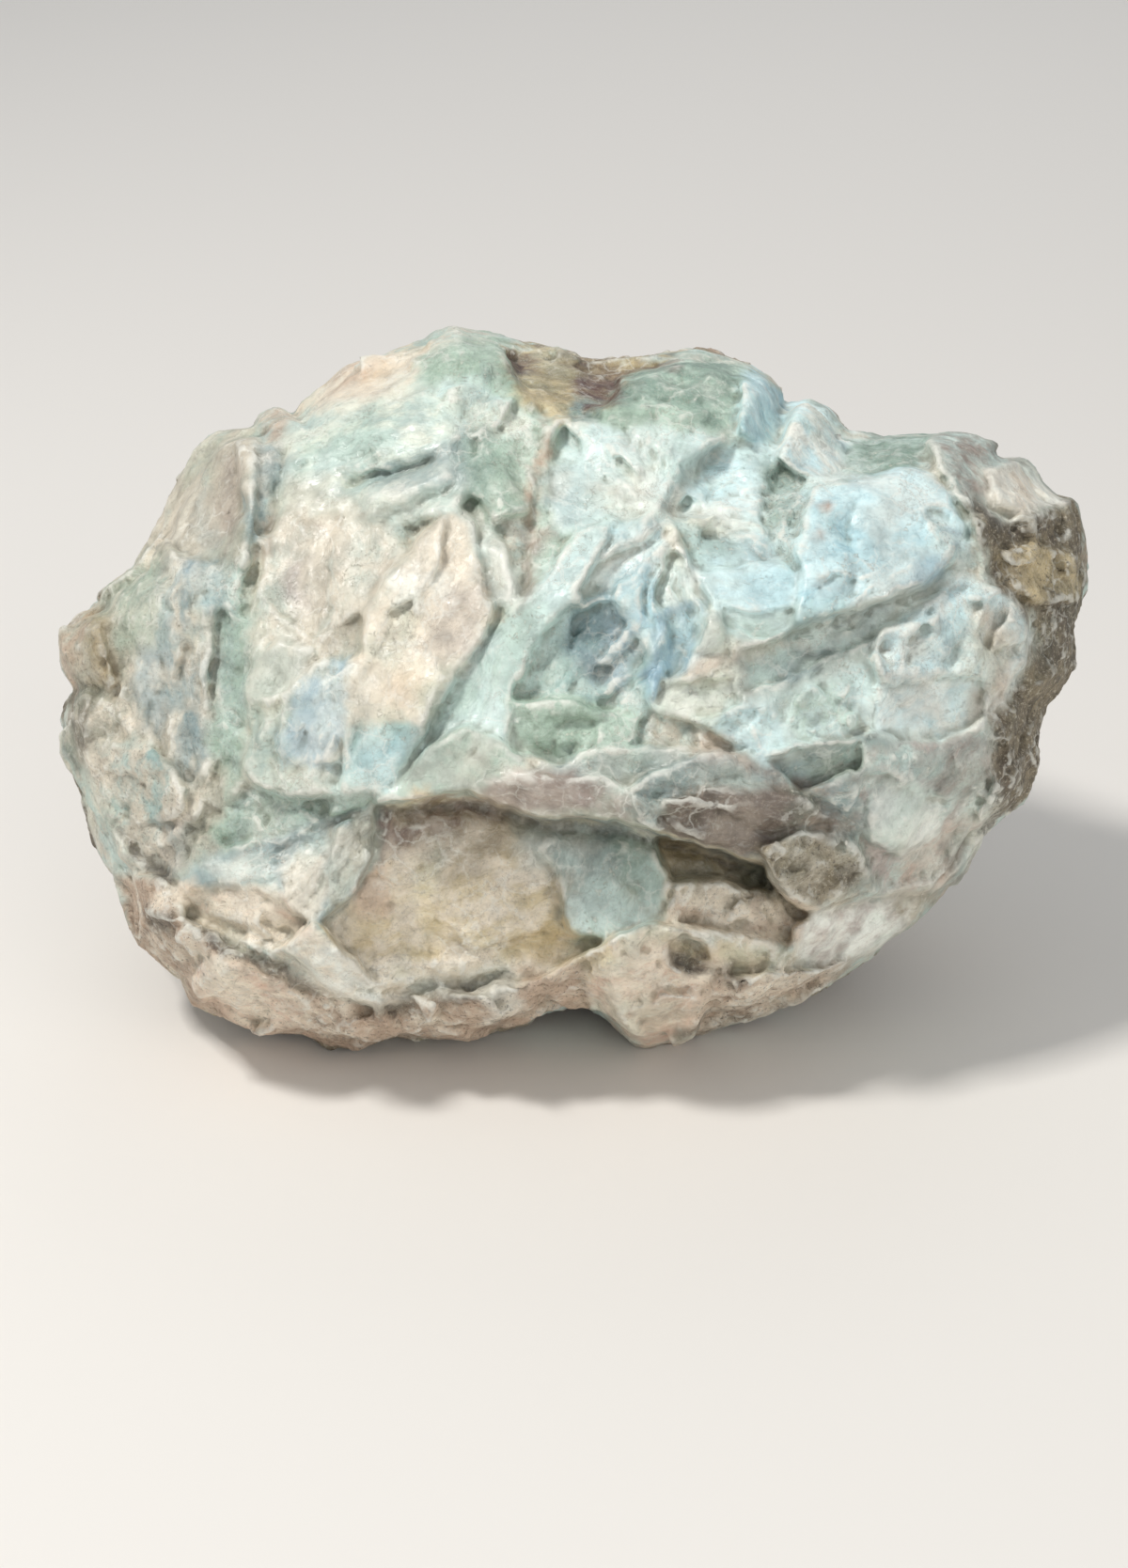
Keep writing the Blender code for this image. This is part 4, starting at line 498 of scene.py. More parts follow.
def walk(x, y, line, closed=False):
    """(distance, side, share of the way) of sketch points to a line. Side is 1 on its left, as drawn."""
    nearest = np.full(len(x), 1e9)
    side = np.ones(len(x))
    share = np.zeros(len(x))
    edges = edges_of(line, closed)
    lengths = [math.dist(a, b) for a, b in edges]
    walked = 0.0
    for (a, b), length in zip(edges, lengths):
        dx, dy = (b[0] - a[0]) / length, (b[1] - a[1]) / length
        along = np.clip((x - a[0]) * dx + (y - a[1]) * dy, 0.0, length)
        off_x, off_y = x - a[0] - along * dx, y - a[1] - along * dy
        distance = np.hypot(off_x, off_y)
        closer = distance < nearest
        nearest[closer] = distance[closer]
        turn = dx * (y - a[1]) - dy * (x - a[0])
        side[closer] = np.where(turn[closer] <= 0, 1.0, -1.0)
        share[closer] = (walked + along[closer]) / sum(lengths)
        walked += length
    return nearest * SKETCH_UNIT, side, share


def inside_of(x, y, corners):
    """Signed distance in mm from sketch points to a closed shape, positive inside."""
    nearest, _, _ = walk(x, y, corners, closed=True)
    odd = np.zeros(len(x), bool)
    for (ax, ay), (bx, by) in edges_of(corners, True):
        crosses = (ay > y) != (by > y)
        with np.errstate(divide="ignore", invalid="ignore"):
            at = ax + (y - ay) * (bx - ax) / (by - ay)
        odd ^= crosses & (x < at)
    return np.where(odd, nearest, -nearest)


def near(x, y, points, margin):
    """Which sketch points lie within margin mm of the box round some points."""
    box = np.array(points, float)
    low, high = box.min(0) - margin / SKETCH_UNIT, box.max(0) + margin / SKETCH_UNIT
    return np.flatnonzero((x > low[0]) & (x < high[0]) & (y > low[1]) & (y < high[1]))


def facets(x, y, kind, way, number):
    """The small broken planes of one kind of surface, in mm, with their grain lying along way."""
    cell, stretch, height = KINDS[kind]
    c, s = math.cos(math.radians(way)), math.sin(math.radians(way))
    along = (x * c - y * s) * SKETCH_UNIT / (cell * stretch)
    across = (x * s + y * c) * SKETCH_UNIT / cell
    places = np.stack([along, across, np.zeros(len(x))], axis=1)
    coarse = hackle_field(places, 1.0, 3.7 * number)
    fine = hackle_field(places, 0.45, 1.9 * number)
    return height * (coarse + 0.35 * fine)


def add_breaks(x, y, depth, detail):
    """Lays the planes of the breaks into depth, and their small facets into detail."""
    detail += facets(x, y, "sugar", 45, 0)
    for number, (_, kind, way, lift, right, up, edge, corners) in enumerate(BREAKS, 1):
        at = near(x, y, corners, edge)
        middle = np.mean(corners, axis=0)
        step = 20.0
        here = plain_depth(*middle)
        slope_x = (plain_depth(middle[0] + step, middle[1]) - here) / step
        slope_y = (plain_depth(middle[0], middle[1] + step) - here) / step
        dx, dy = x[at] - middle[0], y[at] - middle[1]
        plane = here + lift + slope_x * dx + slope_y * dy
        plane += (right * dx - up * dy) * SKETCH_UNIT
        share = smooth_step(inside_of(x[at], y[at], corners), -edge / 2, edge / 2)
        depth[at] += share * (plane - depth[at])
        detail[at] += share * (facets(x[at], y[at], kind, way, number) - detail[at])


def add_ledges(x, y, depth):
    for _, height, reach, line in LEDGES:
        at = near(x, y, line, 4 * reach)
        distance, side, share = walk(x[at], y[at], line)
        ends = smooth_step(np.minimum(share, 1 - share), 0.0, 0.08)
        fade = np.exp(-distance / reach) * ends
        depth[at] += 0.5 * height * side * fade * smooth_step(distance, 0.0, 0.35)


def add_creases(x, y, depth):
    for _, height, reach, line in CREASES:
        at = near(x, y, line, 5 * reach)
        distance, _, share = walk(x[at], y[at], line)
        ends = smooth_step(np.minimum(share, 1 - share), -0.02, 0.15)
        depth[at] += height * np.exp(-((distance / reach) ** 1.5)) * ends


def add_lumps(x, y, depth):
    for _, height, middle, wide, high, turn in LUMPS:
        c, s = math.cos(math.radians(turn)), math.sin(math.radians(turn))
        dx, dy = x - middle[0], middle[1] - y
        along, across = dx * c + dy * s, dy * c - dx * s
        depth += height * np.exp(-((along / wide) ** 2 + (across / high) ** 2) * 1.4)


def in_fan(x, y, fan):
    """(radius in mm, angle as a share of a turn, 0 to 1 share of the fan) of sketch points."""
    _, _, reach, _, start, end, hub = fan
    across, up = (x - hub[0]) * SKETCH_UNIT, (hub[1] - y) * SKETCH_UNIT
    radius = np.hypot(across, up)
    middle, half = (start + end) / 2, (end - start) / 2
    turn = np.degrees(np.arctan2(up, across)) - middle
    turn = (turn + 180.0) % 360.0 - 180.0
    share = smooth_step(half - np.abs(turn), 0.0, 12.0) * smooth_step(radius, 0.5, 3.0)
    return radius, turn / 360.0, share * smooth_step(reach - radius, 0.0, 0.4 * reach)


def add_fans(x, y, depth):
    for number, fan in enumerate(FANS):
        height, count = fan[1], fan[3]
        radius, turn, share = in_fan(x, y, fan)
        at = np.flatnonzero(share)
        ground = np.stack([x[at], y[at], np.full(len(at), 40.0 * number)], axis=1)
        place = turn[at] * count + 0.6 * noise_field(ground, 60.0, 3, 6.6)
        blade = np.floor(place)
        tall = 0.5 + 0.5 * np.sin(blade * 12.9 + number)
        depth[at] += height * tall * (place - blade - 0.5) * share[at]


def chip(places, share):
    """Cuts the hidden side back to the chip planes. Places are right, up and back from the heart."""
    rough = 1.2 * noise_field(places, 14.0, 3, 3.1)
    for _, way, distance in CHIPS:
        way = np.array(way) / np.linalg.norm(way)
        over = places @ way - distance - rough
        places -= np.outer(np.maximum(over, 0.0) * 0.92 * share, way)
    for _, height, reach, middle in HIDDEN_LUMPS:
        bump = height * np.exp(-np.sum((places - middle) ** 2, axis=1) / reach**2)
        places += places * (bump / np.linalg.norm(places, axis=1))[:, None]
    return places


def sculpt(directions):
    """Sends unit directions (right, up, towards the viewer) to sketch x, sketch y and depth in mm."""
    right, up, front = directions.T
    angle = np.arctan2(up, right)
    rim = np.exp(-((front / 0.33) ** 2))
    sharp, smooth = np.interp(angle, GRID, SHARP), np.interp(angle, GRID, SMOOTH)
    radius = np.where(front > 0, sharp, smooth + rim * (sharp - smooth))
    places = np.stack([right, up, np.zeros(len(right))], axis=1) * radius[:, None]
    x = HEART[0] + places[:, 0] / SKETCH_UNIT
    y = HEART[1] - places[:, 1] / SKETCH_UNIT

    face = front > 0
    depth = np.where(face, FACE_DEPTH * np.abs(front) ** 0.8, -BACK_DEPTH * np.abs(front) ** 0.75)
    plain = depth.copy()
    ground = np.stack([x, y, np.zeros(len(x))], axis=1)
    warp_x = x + 9.0 * noise_field(ground, 70.0, 5, 1.7)
    warp_y = y + 9.0 * noise_field(ground, 70.0, 5, 8.2)
    carved = depth.copy()
    detail = np.zeros(len(x))
    add_breaks(warp_x, warp_y, carved, detail)
    rise = carved - plain
    proud = rise > PROUD
    rise[proud] = PROUD + PROUD * np.tanh((rise[proud] - PROUD) / PROUD)
    for add in (add_fans, add_lumps, add_ledges, add_creases):
        add(warp_x, warp_y, detail)
    hold = smooth_step(front, 0.0, 0.30)
    depth += hold * (rise + detail)

    back = ~face
    hidden = np.stack([places[back, 0], places[back, 1], -depth[back]], axis=1)
    hidden = chip(hidden, smooth_step(-front[back], 0.0, 0.22))
    places[back, :2] = hidden[:, :2]
    depth[back] = -hidden[:, 2]
    places[:, 2] = depth
    coarse = hackle_field(places, 11.0, 4.4)
    rough = 1.0 * hackle_field(places, 6.0, 2.3) + 0.4 * hackle_field(places, 2.8, 6.1)
    rough *= (1.0 - hold) * (0.35 + 0.65 * smooth_step(-front, 0.0, 0.3))
    rough += 1.5 * coarse * smooth_step(-front, 0.0, 0.4)
    rough += 4.0 * hold * (1.0 - hold) * (1.5 * coarse - 0.6)
    places *= (1.0 + rough / np.linalg.norm(places, axis=1))[:, None]
    x = HEART[0] + places[:, 0] / SKETCH_UNIT
    y = HEART[1] - places[:, 1] / SKETCH_UNIT
    depth = places[:, 2] + RIM_LEAN * (y - HEART[1]) * SKETCH_UNIT
    return x, y, depth


def stand(x, y, depth):
    """Places sketch points and depths in the stone's own frame, in metres, leaned back as it lies."""
    shrink = 1.0 - depth / EYE_DISTANCE
    across = (x - SKETCH_MIDDLE[0]) * SKETCH_UNIT * shrink
    up = (SKETCH_MIDDLE[1] - y) * SKETCH_UNIT * shrink
    lean = math.radians(LEAN_DEGREES)
    c, s = math.cos(lean), math.sin(lean)
    return np.stack(
        [across - MIDDLE_X, up * s - depth * c - MIDDLE_Y, up * c + depth * s + REST_HEIGHT], axis=1
    ) * MM



# ---- looks

# Colours of the stone, as they look, in red, green and blue from 0 to 255. The darkest also serves as painted
# shade.
PALETTE = {
    "white": (240, 242, 232),
    "frost": (212, 238, 240),
    "ice": (212, 232, 228),
    "milk": (226, 230, 214),
    "pale": (190, 218, 224),
    "sky": (166, 202, 210),
    "blue": (142, 174, 190),
    "steel": (168, 188, 194),
    "mist": (190, 208, 200),
    "sea": (158, 188, 184),
    "silver": (208, 212, 200),
    "fog": (184, 192, 180),
    "mint": (192, 212, 196),
    "sage": (160, 182, 164),
    "jade": (134, 158, 144),
    "teal": (116, 146, 148),
    "haze": (146, 164, 164),
    "ash": (170, 170, 154),
    "stone": (192, 184, 166),
    "pearl": (214, 206, 188),
    "cream": (236, 224, 204),
    "warm": (228, 202, 168),
    "pink": (216, 186, 164),
    "lilac": (184, 172, 164),
    "mauve": (150, 136, 126),
    "dusk": (118, 106, 96),
    "rust": (176, 128, 96),
    "maroon": (84, 50, 44),
    "khaki": (208, 190, 150),
    "olive": (158, 144, 108),
    "clay": (190, 166, 144),
    "rock": (146, 134, 110),
    "bark": (100, 90, 74),
    "soot_and_shade": (54, 46, 38),
}

# The colour of each break: its own, that of its flecks, how much of it they take, and how gritty it is
SHADES = {
    "left flank": ("ash", "cream", 0.35, 0.5),
    "flank top": ("stone", "pearl", 0.40, 0.2),
    "flank middle": ("haze", "pearl", 0.50, 0.4),
    "flank edge": ("sage", "mist", 0.50, 0.4),
    "flank low": ("sea", "pearl", 0.60, 0.6),
    "folded brow": ("mist", "milk", 0.45, 0.0),
    "brow edge": ("warm", "cream", 0.65, 0.1),
    "banded cheek": ("fog", "pearl", 0.55, 0.1),
    "cheek low": ("fog", "silver", 0.60, 0.2),
    "grey scab": ("ash", "stone", 0.50, 0.3),
    "blue chip": ("steel", "silver", 0.30, 0.1),
    "chip rim": ("haze", "silver", 0.55, 0.1),
    "cream face": ("pearl", "cream", 0.45, 0.0),
    "cream face low": ("sea", "ice", 0.45, 0.1),
    "green crown": ("sage", "mint", 0.35, 0.3),
    "crown ledge": ("ice", "milk", 0.50, 0.3),
    "green tongue": ("mist", "silver", 0.50, 0.1),
    "top notch": ("olive", "khaki", 0.40, 0.5),
    "green crest": ("jade", "mint", 0.40, 0.3),
    "crest lobe": ("sage", "mint", 0.30, 0.2),
    "blue knob": ("sky", "frost", 0.50, 0.0),
    "middle field": ("stone", "mint", 0.65, 0.2),
    "pale slab": ("mist", "ice", 0.62, 0.1),
    "long slope": ("mist", "ice", 0.50, 0.0),
    "slope foot": ("fog", "mint", 0.50, 0.1),
    "splinter field": ("sky", "ice", 0.50, 0.1),
    "splinter lens": ("frost", "white", 0.40, 0.0),
    "grey blade": ("mist", "ice", 0.50, 0.0),
    "sky bench": ("ice", "frost", 0.60, 0.0),
    "bench fan": ("ice", "frost", 0.50, 0.0),
    "bench step": ("ice", "frost", 0.65, 0.0),
    "bench riser": ("mist", "ice", 0.60, 0.0),
    "grit patch": ("mist", "ice", 0.50, 0.7),
    "white block": ("frost", "white", 0.50, 0.0),
    "green saddle": ("jade", "mist", 0.35, 0.3),
    "sky slab": ("sky", "frost", 0.65, 0.0),
    "slab crumbs": ("steel", "ice", 0.60, 0.4),
    "brown shoulder": ("mauve", "mist", 0.50, 0.2),
    "cream cap": ("white", "cream", 0.40, 0.1),
    "slab recess": ("haze", "mist", 0.50, 0.1),
    "banded ledge": ("milk", "white", 0.50, 0.1),
    "blue shelf": ("fog", "ice", 0.60, 0.1),
    "shelf prow": ("frost", "ice", 0.50, 0.0),
    "shelf flat": ("mint", "ice", 0.50, 0.2),
    "white boss": ("white", "frost", 0.45, 0.3),
    "boss face": ("frost", "white", 0.40, 0.3),
    "boss low": ("frost", "white", 0.50, 0.1),
    "host rock end": ("rock", "bark", 0.50, 1.0),
    "rock end face": ("khaki", "rock", 0.40, 1.0),
    "teal hollow": ("sea", "mist", 0.50, 0.3),
    "teal floor": ("haze", "steel", 0.45, 0.3),
    "teal shelf": ("sage", "mint", 0.60, 0.2),
    "waxy roll": ("haze", "silver", 0.60, 0.0),
    "lilac lip": ("mauve", "lilac", 0.35, 0.0),
    "grey lip": ("mauve", "haze", 0.50, 0.3),
    "lip shard": ("dusk", "bark", 0.35, 0.3),
    "lip top": ("haze", "fog", 0.50, 0.1),
    "right haunch": ("lilac", "mist", 0.50, 0.3),
    "haunch face": ("mist", "white", 0.60, 0.1),
    "grit lump": ("rock", "stone", 0.50, 1.0),
    "hollow": ("khaki", "cream", 0.50, 0.3),
    "hollow wall": ("ash", "mist", 0.40, 0.1),
    "hollow step": ("clay", "cream", 0.65, 0.5),
    "hollow grit": ("cream", "clay", 0.40, 0.7),
    "hollow side": ("bark", "dusk", 0.50, 0.3),
    "undercut": ("sage", "mist", 0.50, 0.4),
    "blue foot": ("haze", "mist", 0.35, 0.1),
    "foot blade": ("ash", "fog", 0.55, 0.2),
    "lilac foot": ("pink", "cream", 0.75, 0.3),
    "white rim": ("cream", "white", 0.55, 0.3),
    "host rock sole": ("clay", "cream", 0.35, 0.9),
    "sole face": ("pink", "cream", 0.60, 0.6),
    "right foot": ("cream", "pink", 0.35, 0.3),
    "grey facet": ("pink", "cream", 0.30, 0.0),
    "foot scoop": ("bark", "dusk", 0.50, 0.6),
    "pale heel": ("lilac", "white", 0.60, 0.1),
    "heel rock": ("clay", "cream", 0.50, 1.0),
    "knob": ("clay", "stone", 0.50, 0.6),
}

# Patches that are colour only: (colour, strength, soft edge in mm, corners). A few are painted shadow under the
# great lip, and the dark strips along cracks are partly painted shade.
PATCHES = [
    ("olive", 0.8, 1.2, [(92, 650), (112, 655), (122, 720), (106, 738), (92, 700)]),
    ("bark", 0.8, 0.8, [(62, 735), (100, 728), (118, 735), (96, 760), (100, 800), (78, 825), (60, 800)]),
    ("sage", 0.7, 1.5, [(120, 622), (165, 590), (175, 640), (165, 690), (130, 690)]),
    ("steel", 0.6, 1.2, [(150, 690), (172, 690), (170, 775), (152, 775)]),
    ("steel", 0.7, 1.0, [(190, 590), (240, 610), (246, 650), (205, 640)]),
    ("mauve", 0.7, 1.2, [(232, 470), (250, 500), (246, 600), (236, 620), (232, 560)]),
    ("rust", 0.6, 0.8, [(286, 436), (304, 438), (306, 462), (290, 470)]),
    ("rust", 0.5, 0.7, [(288, 535), (296, 535), (282, 600), (276, 590)]),
    ("haze", 0.9, 0.8, [(272, 470), (290, 468), (296, 500), (280, 560), (258, 610), (258, 560)]),
    ("rust", 0.5, 1.2, [(356, 396), (380, 386), (402, 392), (380, 412), (356, 414)]),
    ("pearl", 0.7, 1.2, [(318, 430), (345, 412), (430, 395), (440, 420), (380, 430), (330, 440)]),
    ("haze", 0.8, 1.0, [(395, 500), (455, 478), (498, 450), (500, 510), (450, 520), (390, 530)]),
    ("mist", 0.8, 0.8, [(380, 540), (440, 520), (490, 500), (486, 540), (430, 552), (385, 560)]),
    ("stone", 0.7, 1.2, [(300, 505), (370, 525), (395, 545), (360, 562), (300, 560)]),
    ("pearl", 0.8, 1.0, [(330, 580), (348, 575), (340, 640), (320, 690), (308, 690), (322, 640)]),
    ("lilac", 0.8, 1.0, [(308, 590), (328, 590), (326, 650), (306, 650)]),
    ("white", 0.7, 0.6, [(404, 605), (440, 592), (446, 632), (442, 652), (412, 648)]),
    ("white", 0.8, 0.5, [(448, 612), (466, 602), (482, 615), (478, 636), (458, 636)]),
    ("lilac", 0.5, 1.5, [(480, 620), (516, 620), (512, 680), (488, 715), (455, 690)]),
    ("warm", 0.5, 1.5, [(410, 715), (450, 708), (450, 745), (412, 750)]),
    ("sky", 0.5, 1.2, [(385, 800), (420, 780), (440, 790), (408, 830), (380, 830)]),
    ("jade", 0.5, 1.2, [(505, 455), (525, 460), (520, 540), (500, 540), (492, 500)]),
    ("white", 0.8, 0.5, [(522, 540), (545, 548), (552, 570), (540, 572), (526, 558)]),
    ("white", 0.8, 0.6, [(514, 575), (536, 590), (552, 625), (545, 655), (532, 640), (520, 600)]),
    ("teal", 0.6, 0.7, [(508, 592), (518, 590), (530, 640), (522, 645), (508, 620)]),
    ("rust", 0.8, 0.6, [(572, 455), (580, 458), (572, 530), (566, 585), (558, 585), (566, 520)]),
    ("mauve", 0.8, 0.7, [(556, 580), (582, 572), (576, 600), (562, 650), (550, 655), (556, 610)]),
    ("maroon", 1.0, 0.6, [(545, 372), (566, 374), (566, 400), (546, 402)]),
    ("khaki", 0.9, 0.8, [(550, 415), (585, 425), (612, 448), (590, 450), (556, 432)]),
    ("maroon", 1.0, 0.8, [(612, 394), (665, 396), (655, 425), (630, 432), (614, 424)]),
    ("maroon", 0.8, 0.8, [(600, 372), (665, 385), (720, 378), (722, 392), (660, 398), (600, 388)]),
    ("teal", 0.9, 0.8, [(610, 424), (636, 430), (640, 442), (612, 450)]),
    ("stone", 0.7, 1.2, [(560, 362), (602, 372), (600, 390), (566, 392)]),
    ("white", 0.9, 0.4, [(740, 412), (752, 408), (764, 420), (748, 426)]),
    ("jade", 0.6, 1.2, [(725, 410), (770, 400), (775, 440), (735, 440)]),
    ("haze", 0.7, 1.2, [(578, 500), (620, 505), (622, 560), (585, 575)]),
    ("cream", 0.7, 1.5, [(635, 510), (690, 505), (705, 545), (670, 560), (640, 545)]),
    ("haze", 0.7, 0.6, [(764, 466), (772, 474), (735, 510), (712, 545), (702, 540), (730, 495)]),
    ("white", 0.8, 0.5, [(700, 555), (740, 600), (750, 645), (742, 648), (728, 610), (705, 575)]),
    ("cream", 0.9, 0.4, [(706, 556), (730, 565), (735, 582), (715, 588), (704, 575)]),
    ("white", 0.7, 0.6, [(606, 628), (655, 585), (704, 556), (690, 578), (640, 612), (610, 642)]),
    ("sky", 0.7, 0.7, [(630, 640), (658, 612), (690, 598), (688, 630), (660, 645)]),
    ("blue", 0.9, 0.7, [(696, 650), (742, 640), (738, 684), (712, 722), (696, 745), (690, 700)]),
    ("blue", 0.7, 0.8, [(652, 650), (682, 645), (680, 690), (655, 690)]),
    ("teal", 0.7, 1.0, [(608, 645), (645, 638), (650, 690), (620, 712), (604, 690)]),
    ("white", 0.6, 0.5, [(662, 668), (685, 676), (688, 690), (670, 684)]),
    ("white", 0.6, 0.5, [(660, 735), (682, 732), (684, 748), (664, 748)]),
    ("mist", 0.7, 0.8, [(560, 690), (600, 680), (590, 720), (555, 735)]),
    ("ice", 0.7, 1.0, [(600, 590), (645, 570), (610, 640), (590, 690), (560, 740), (560, 700)]),
    ("haze", 0.6, 0.8, [(745, 567), (812, 570), (840, 596), (800, 602), (752, 600)]),
    ("cream", 0.7, 1.0, [(722, 552), (770, 535), (800, 560), (760, 566)]),
    ("sky", 0.7, 0.9, [(790, 610), (846, 605), (846, 640), (800, 645)]),
    ("rust", 0.9, 0.5, [(872, 538), (888, 540), (886, 552), (874, 550)]),
    ("rust", 0.8, 0.5, [(866, 565), (876, 566), (876, 580), (866, 580)]),
    ("soot_and_shade", 0.7, 0.4, [(870, 610), (880, 610), (880, 618), (870, 618)]),
    ("jade", 0.7, 1.0, [(815, 490), (845, 485), (840, 560), (812, 560)]),
    ("sky", 0.6, 1.2, [(905, 560), (985, 545), (990, 580), (940, 610), (905, 600)]),
    ("white", 0.6, 1.5, [(935, 515), (990, 510), (1000, 545), (950, 550)]),
    ("blue", 0.7, 0.7, [(985, 592), (1012, 590), (1010, 612), (965, 630), (950, 622)]),
    ("bark", 0.6, 1.2, [(855, 695), (925, 690), (920, 706), (870, 716), (850, 712)]),
    ("mist", 0.7, 1.0, [(786, 655), (846, 650), (800, 682), (780, 690)]),
    ("pink", 0.6, 0.8, [(770, 690), (776, 680), (800, 680), (860, 690), (800, 702), (776, 704)]),
    ("rust", 0.7, 0.8, [(1050, 655), (1062, 656), (1066, 690), (1056, 694), (1048, 675)]),
    ("pearl", 0.7, 1.5, [(1040, 640), (1085, 650), (1090, 700), (1060, 730), (1035, 690)]),
    ("clay", 0.7, 1.2, [(1030, 735), (1075, 715), (1060, 760), (1030, 775)]),
    ("pink", 0.6, 1.0, [(735, 700), (775, 702), (770, 722), (720, 722)]),
    ("mauve", 0.5, 0.8, [(772, 698), (792, 698), (800, 745), (785, 748)]),
    ("haze", 0.7, 1.2, [(600, 800), (700, 795), (740, 810), (700, 830), (620, 825)]),
    ("mist", 0.7, 1.0, [(700, 815), (790, 812), (830, 830), (780, 845), (720, 835)]),
    ("pink", 0.6, 1.0, [(730, 770), (765, 790), (800, 815), (740, 800)]),
    ("dusk", 0.7, 1.8, [(770, 848), (860, 842), (890, 880), (830, 890), (780, 880)]),
    ("clay", 0.7, 1.0, [(855, 870), (880, 875), (890, 890), (865, 890)]),
    ("mauve", 0.7, 1.5, [(1010, 780), (1050, 780), (1050, 840), (1010, 850), (1005, 810)]),
    ("pink", 0.6, 1.5, [(960, 905), (1040, 870), (1010, 940), (950, 950)]),
    ("white", 0.5, 1.2, [(935, 840), (985, 835), (1000, 880), (960, 900), (930, 880)]),
    ("soot_and_shade", 0.5, 0.8, [(890, 915), (925, 915), (930, 940), (905, 950), (888, 935)]),
    # Painted shadow: the next two patches darken the top of the hollow in brown, under the great lip
    ("maroon", 0.9, 1.2, [(404, 880), (440, 860), (510, 852), (540, 866), (480, 885), (420, 905), (402, 905)]),
    ("bark", 0.7, 1.5, [(440, 890), (540, 866), (560, 900), (500, 930), (440, 920)]),
    ("pink", 0.7, 0.8, [(380, 950), (400, 915), (415, 925), (420, 965), (385, 975)]),
    ("cream", 0.6, 0.8, [(420, 940), (450, 950), (452, 990), (430, 1010), (415, 970)]),
    # Painted shadow: a thin dark strip just under the great lip, where its shadow falls
    ("soot_and_shade", 0.6, 0.4,
     [(404, 856), (505, 854), (590, 873), (650, 874), (700, 892), (760, 909), (808, 924), (826, 952),
      (819, 954), (802, 930), (760, 917), (700, 900), (650, 882), (590, 881), (505, 862), (408, 864)]),
    ("haze", 0.7, 1.5, [(550, 880), (660, 878), (690, 930), (640, 945), (560, 925)]),
    ("ice", 0.8, 1.0, [(606, 950), (650, 940), (690, 980), (650, 1000), (612, 1010)]),
    ("jade", 0.6, 1.0, [(655, 890), (700, 900), (705, 960), (660, 945)]),
    # Painted shadow: the next two patches darken the hollow under the right end of the great lip
    ("bark", 0.6, 1.2, [(710, 900), (760, 920), (760, 950), (715, 945)]),
    ("soot_and_shade", 0.6, 1.0, [(770, 915), (808, 920), (815, 960), (790, 950)]),
    ("pearl", 0.6, 1.0, [(350, 1000), (400, 1030), (480, 1030), (560, 1020), (480, 1048), (395, 1048)]),
    ("cream", 0.7, 0.8, [(300, 920), (345, 905), (352, 950), (330, 985), (300, 960)]),
    ("white", 0.6, 0.8, [(210, 925), (262, 905), (290, 930), (240, 945)]),
    ("jade", 0.6, 1.0, [(262, 850), (330, 855), (300, 885), (240, 900)]),
    ("mist", 0.8, 1.0, [(290, 820), (400, 820), (400, 848), (300, 850)]),
    ("lilac", 0.6, 1.2, [(165, 870), (200, 875), (198, 925), (175, 930)]),
    # Dark filling and painted shade along the sole crack
    ("soot_and_shade", 0.8, 0.5, [(150, 905), (185, 930), (178, 940), (150, 925), (118, 880), (108, 860), (122, 872)]),
    ("soot_and_shade", 0.8, 0.8, [(150, 965), (185, 970), (180, 995), (155, 990)]),
    # Dark filling and painted shade along the sole gutter
    ("soot_and_shade", 0.8, 0.5, [(195, 975), (250, 1000), (300, 1030), (345, 1055), (335, 1062), (280, 1035), (210, 1000)]),
    ("bark", 0.7, 0.8, [(400, 1062), (440, 1058), (455, 1078), (420, 1085), (398, 1075)]),
    # Dark filling and painted shade along the right part of the sole crack
    ("soot_and_shade", 0.7, 0.6, [(455, 1052), (510, 1046), (540, 1040), (545, 1050), (500, 1062), (460, 1066)]),
    ("white", 0.6, 0.8, [(500, 1050), (545, 1046), (560, 1075), (520, 1085)]),
    ("clay", 0.8, 1.2, [(552, 1035), (612, 1035), (625, 1060), (560, 1070)]),
    ("khaki", 0.7, 0.8, [(610, 1020), (650, 1000), (655, 1020), (620, 1040)]),
    # Dark filling and painted shade in the heel crack
    ("soot_and_shade", 0.7, 0.8, [(765, 1025), (790, 1028), (800, 1050), (780, 1052)]),
    ("bark", 0.9, 0.8, [(720, 1095), (800, 1075), (860, 1055), (905, 1025), (850, 1066), (780, 1090), (715, 1112)]),
    ("khaki", 0.6, 1.0, [(700, 1000), (800, 1000), (850, 1020), (800, 1040), (760, 1020)]),
    ("rock", 0.8, 1.0, [(945, 955), (1000, 945), (1000, 960), (960, 990)]),
    # Dark filling and painted shade along the haunch seam
    ("soot_and_shade", 0.6, 0.8, [(1005, 900), (1030, 890), (1030, 930), (1000, 942)]),
    ("khaki", 0.7, 1.0, [(1085, 585), (1125, 595), (1128, 625), (1090, 620)]),
    # Dark filling and painted shade along the host rock crack
    ("soot_and_shade", 0.7, 0.5, [(1030, 532), (1060, 545), (1092, 572), (1110, 580), (1085, 585), (1055, 560)]),
]

# How far colour wanders from the drawn edges, and the size of those wanderings, in sketch units
WANDER = ((10.0, 42.0), (4.0, 9.0))

# How far a break's colours reach past its edge, in mm, and how much more for each mm of that edge's width
BORDER = (0.35, 0.5)
# How far the blades of a fan go to white or to grey, and the fans whose blades are all alike
BLADE_SHADE = 0.6
PLAIN_FANS = ("cheek", "brow")
FLOOR_COLOUR = (0.80, 0.77, 0.73)


def linear(colour):
    """A palette colour as the light it gives back."""
    share = np.array(PALETTE[colour], float) / 255.0
    return np.where(share <= 0.04045, share / 12.92, ((share + 0.055) / 1.055) ** 2.4)


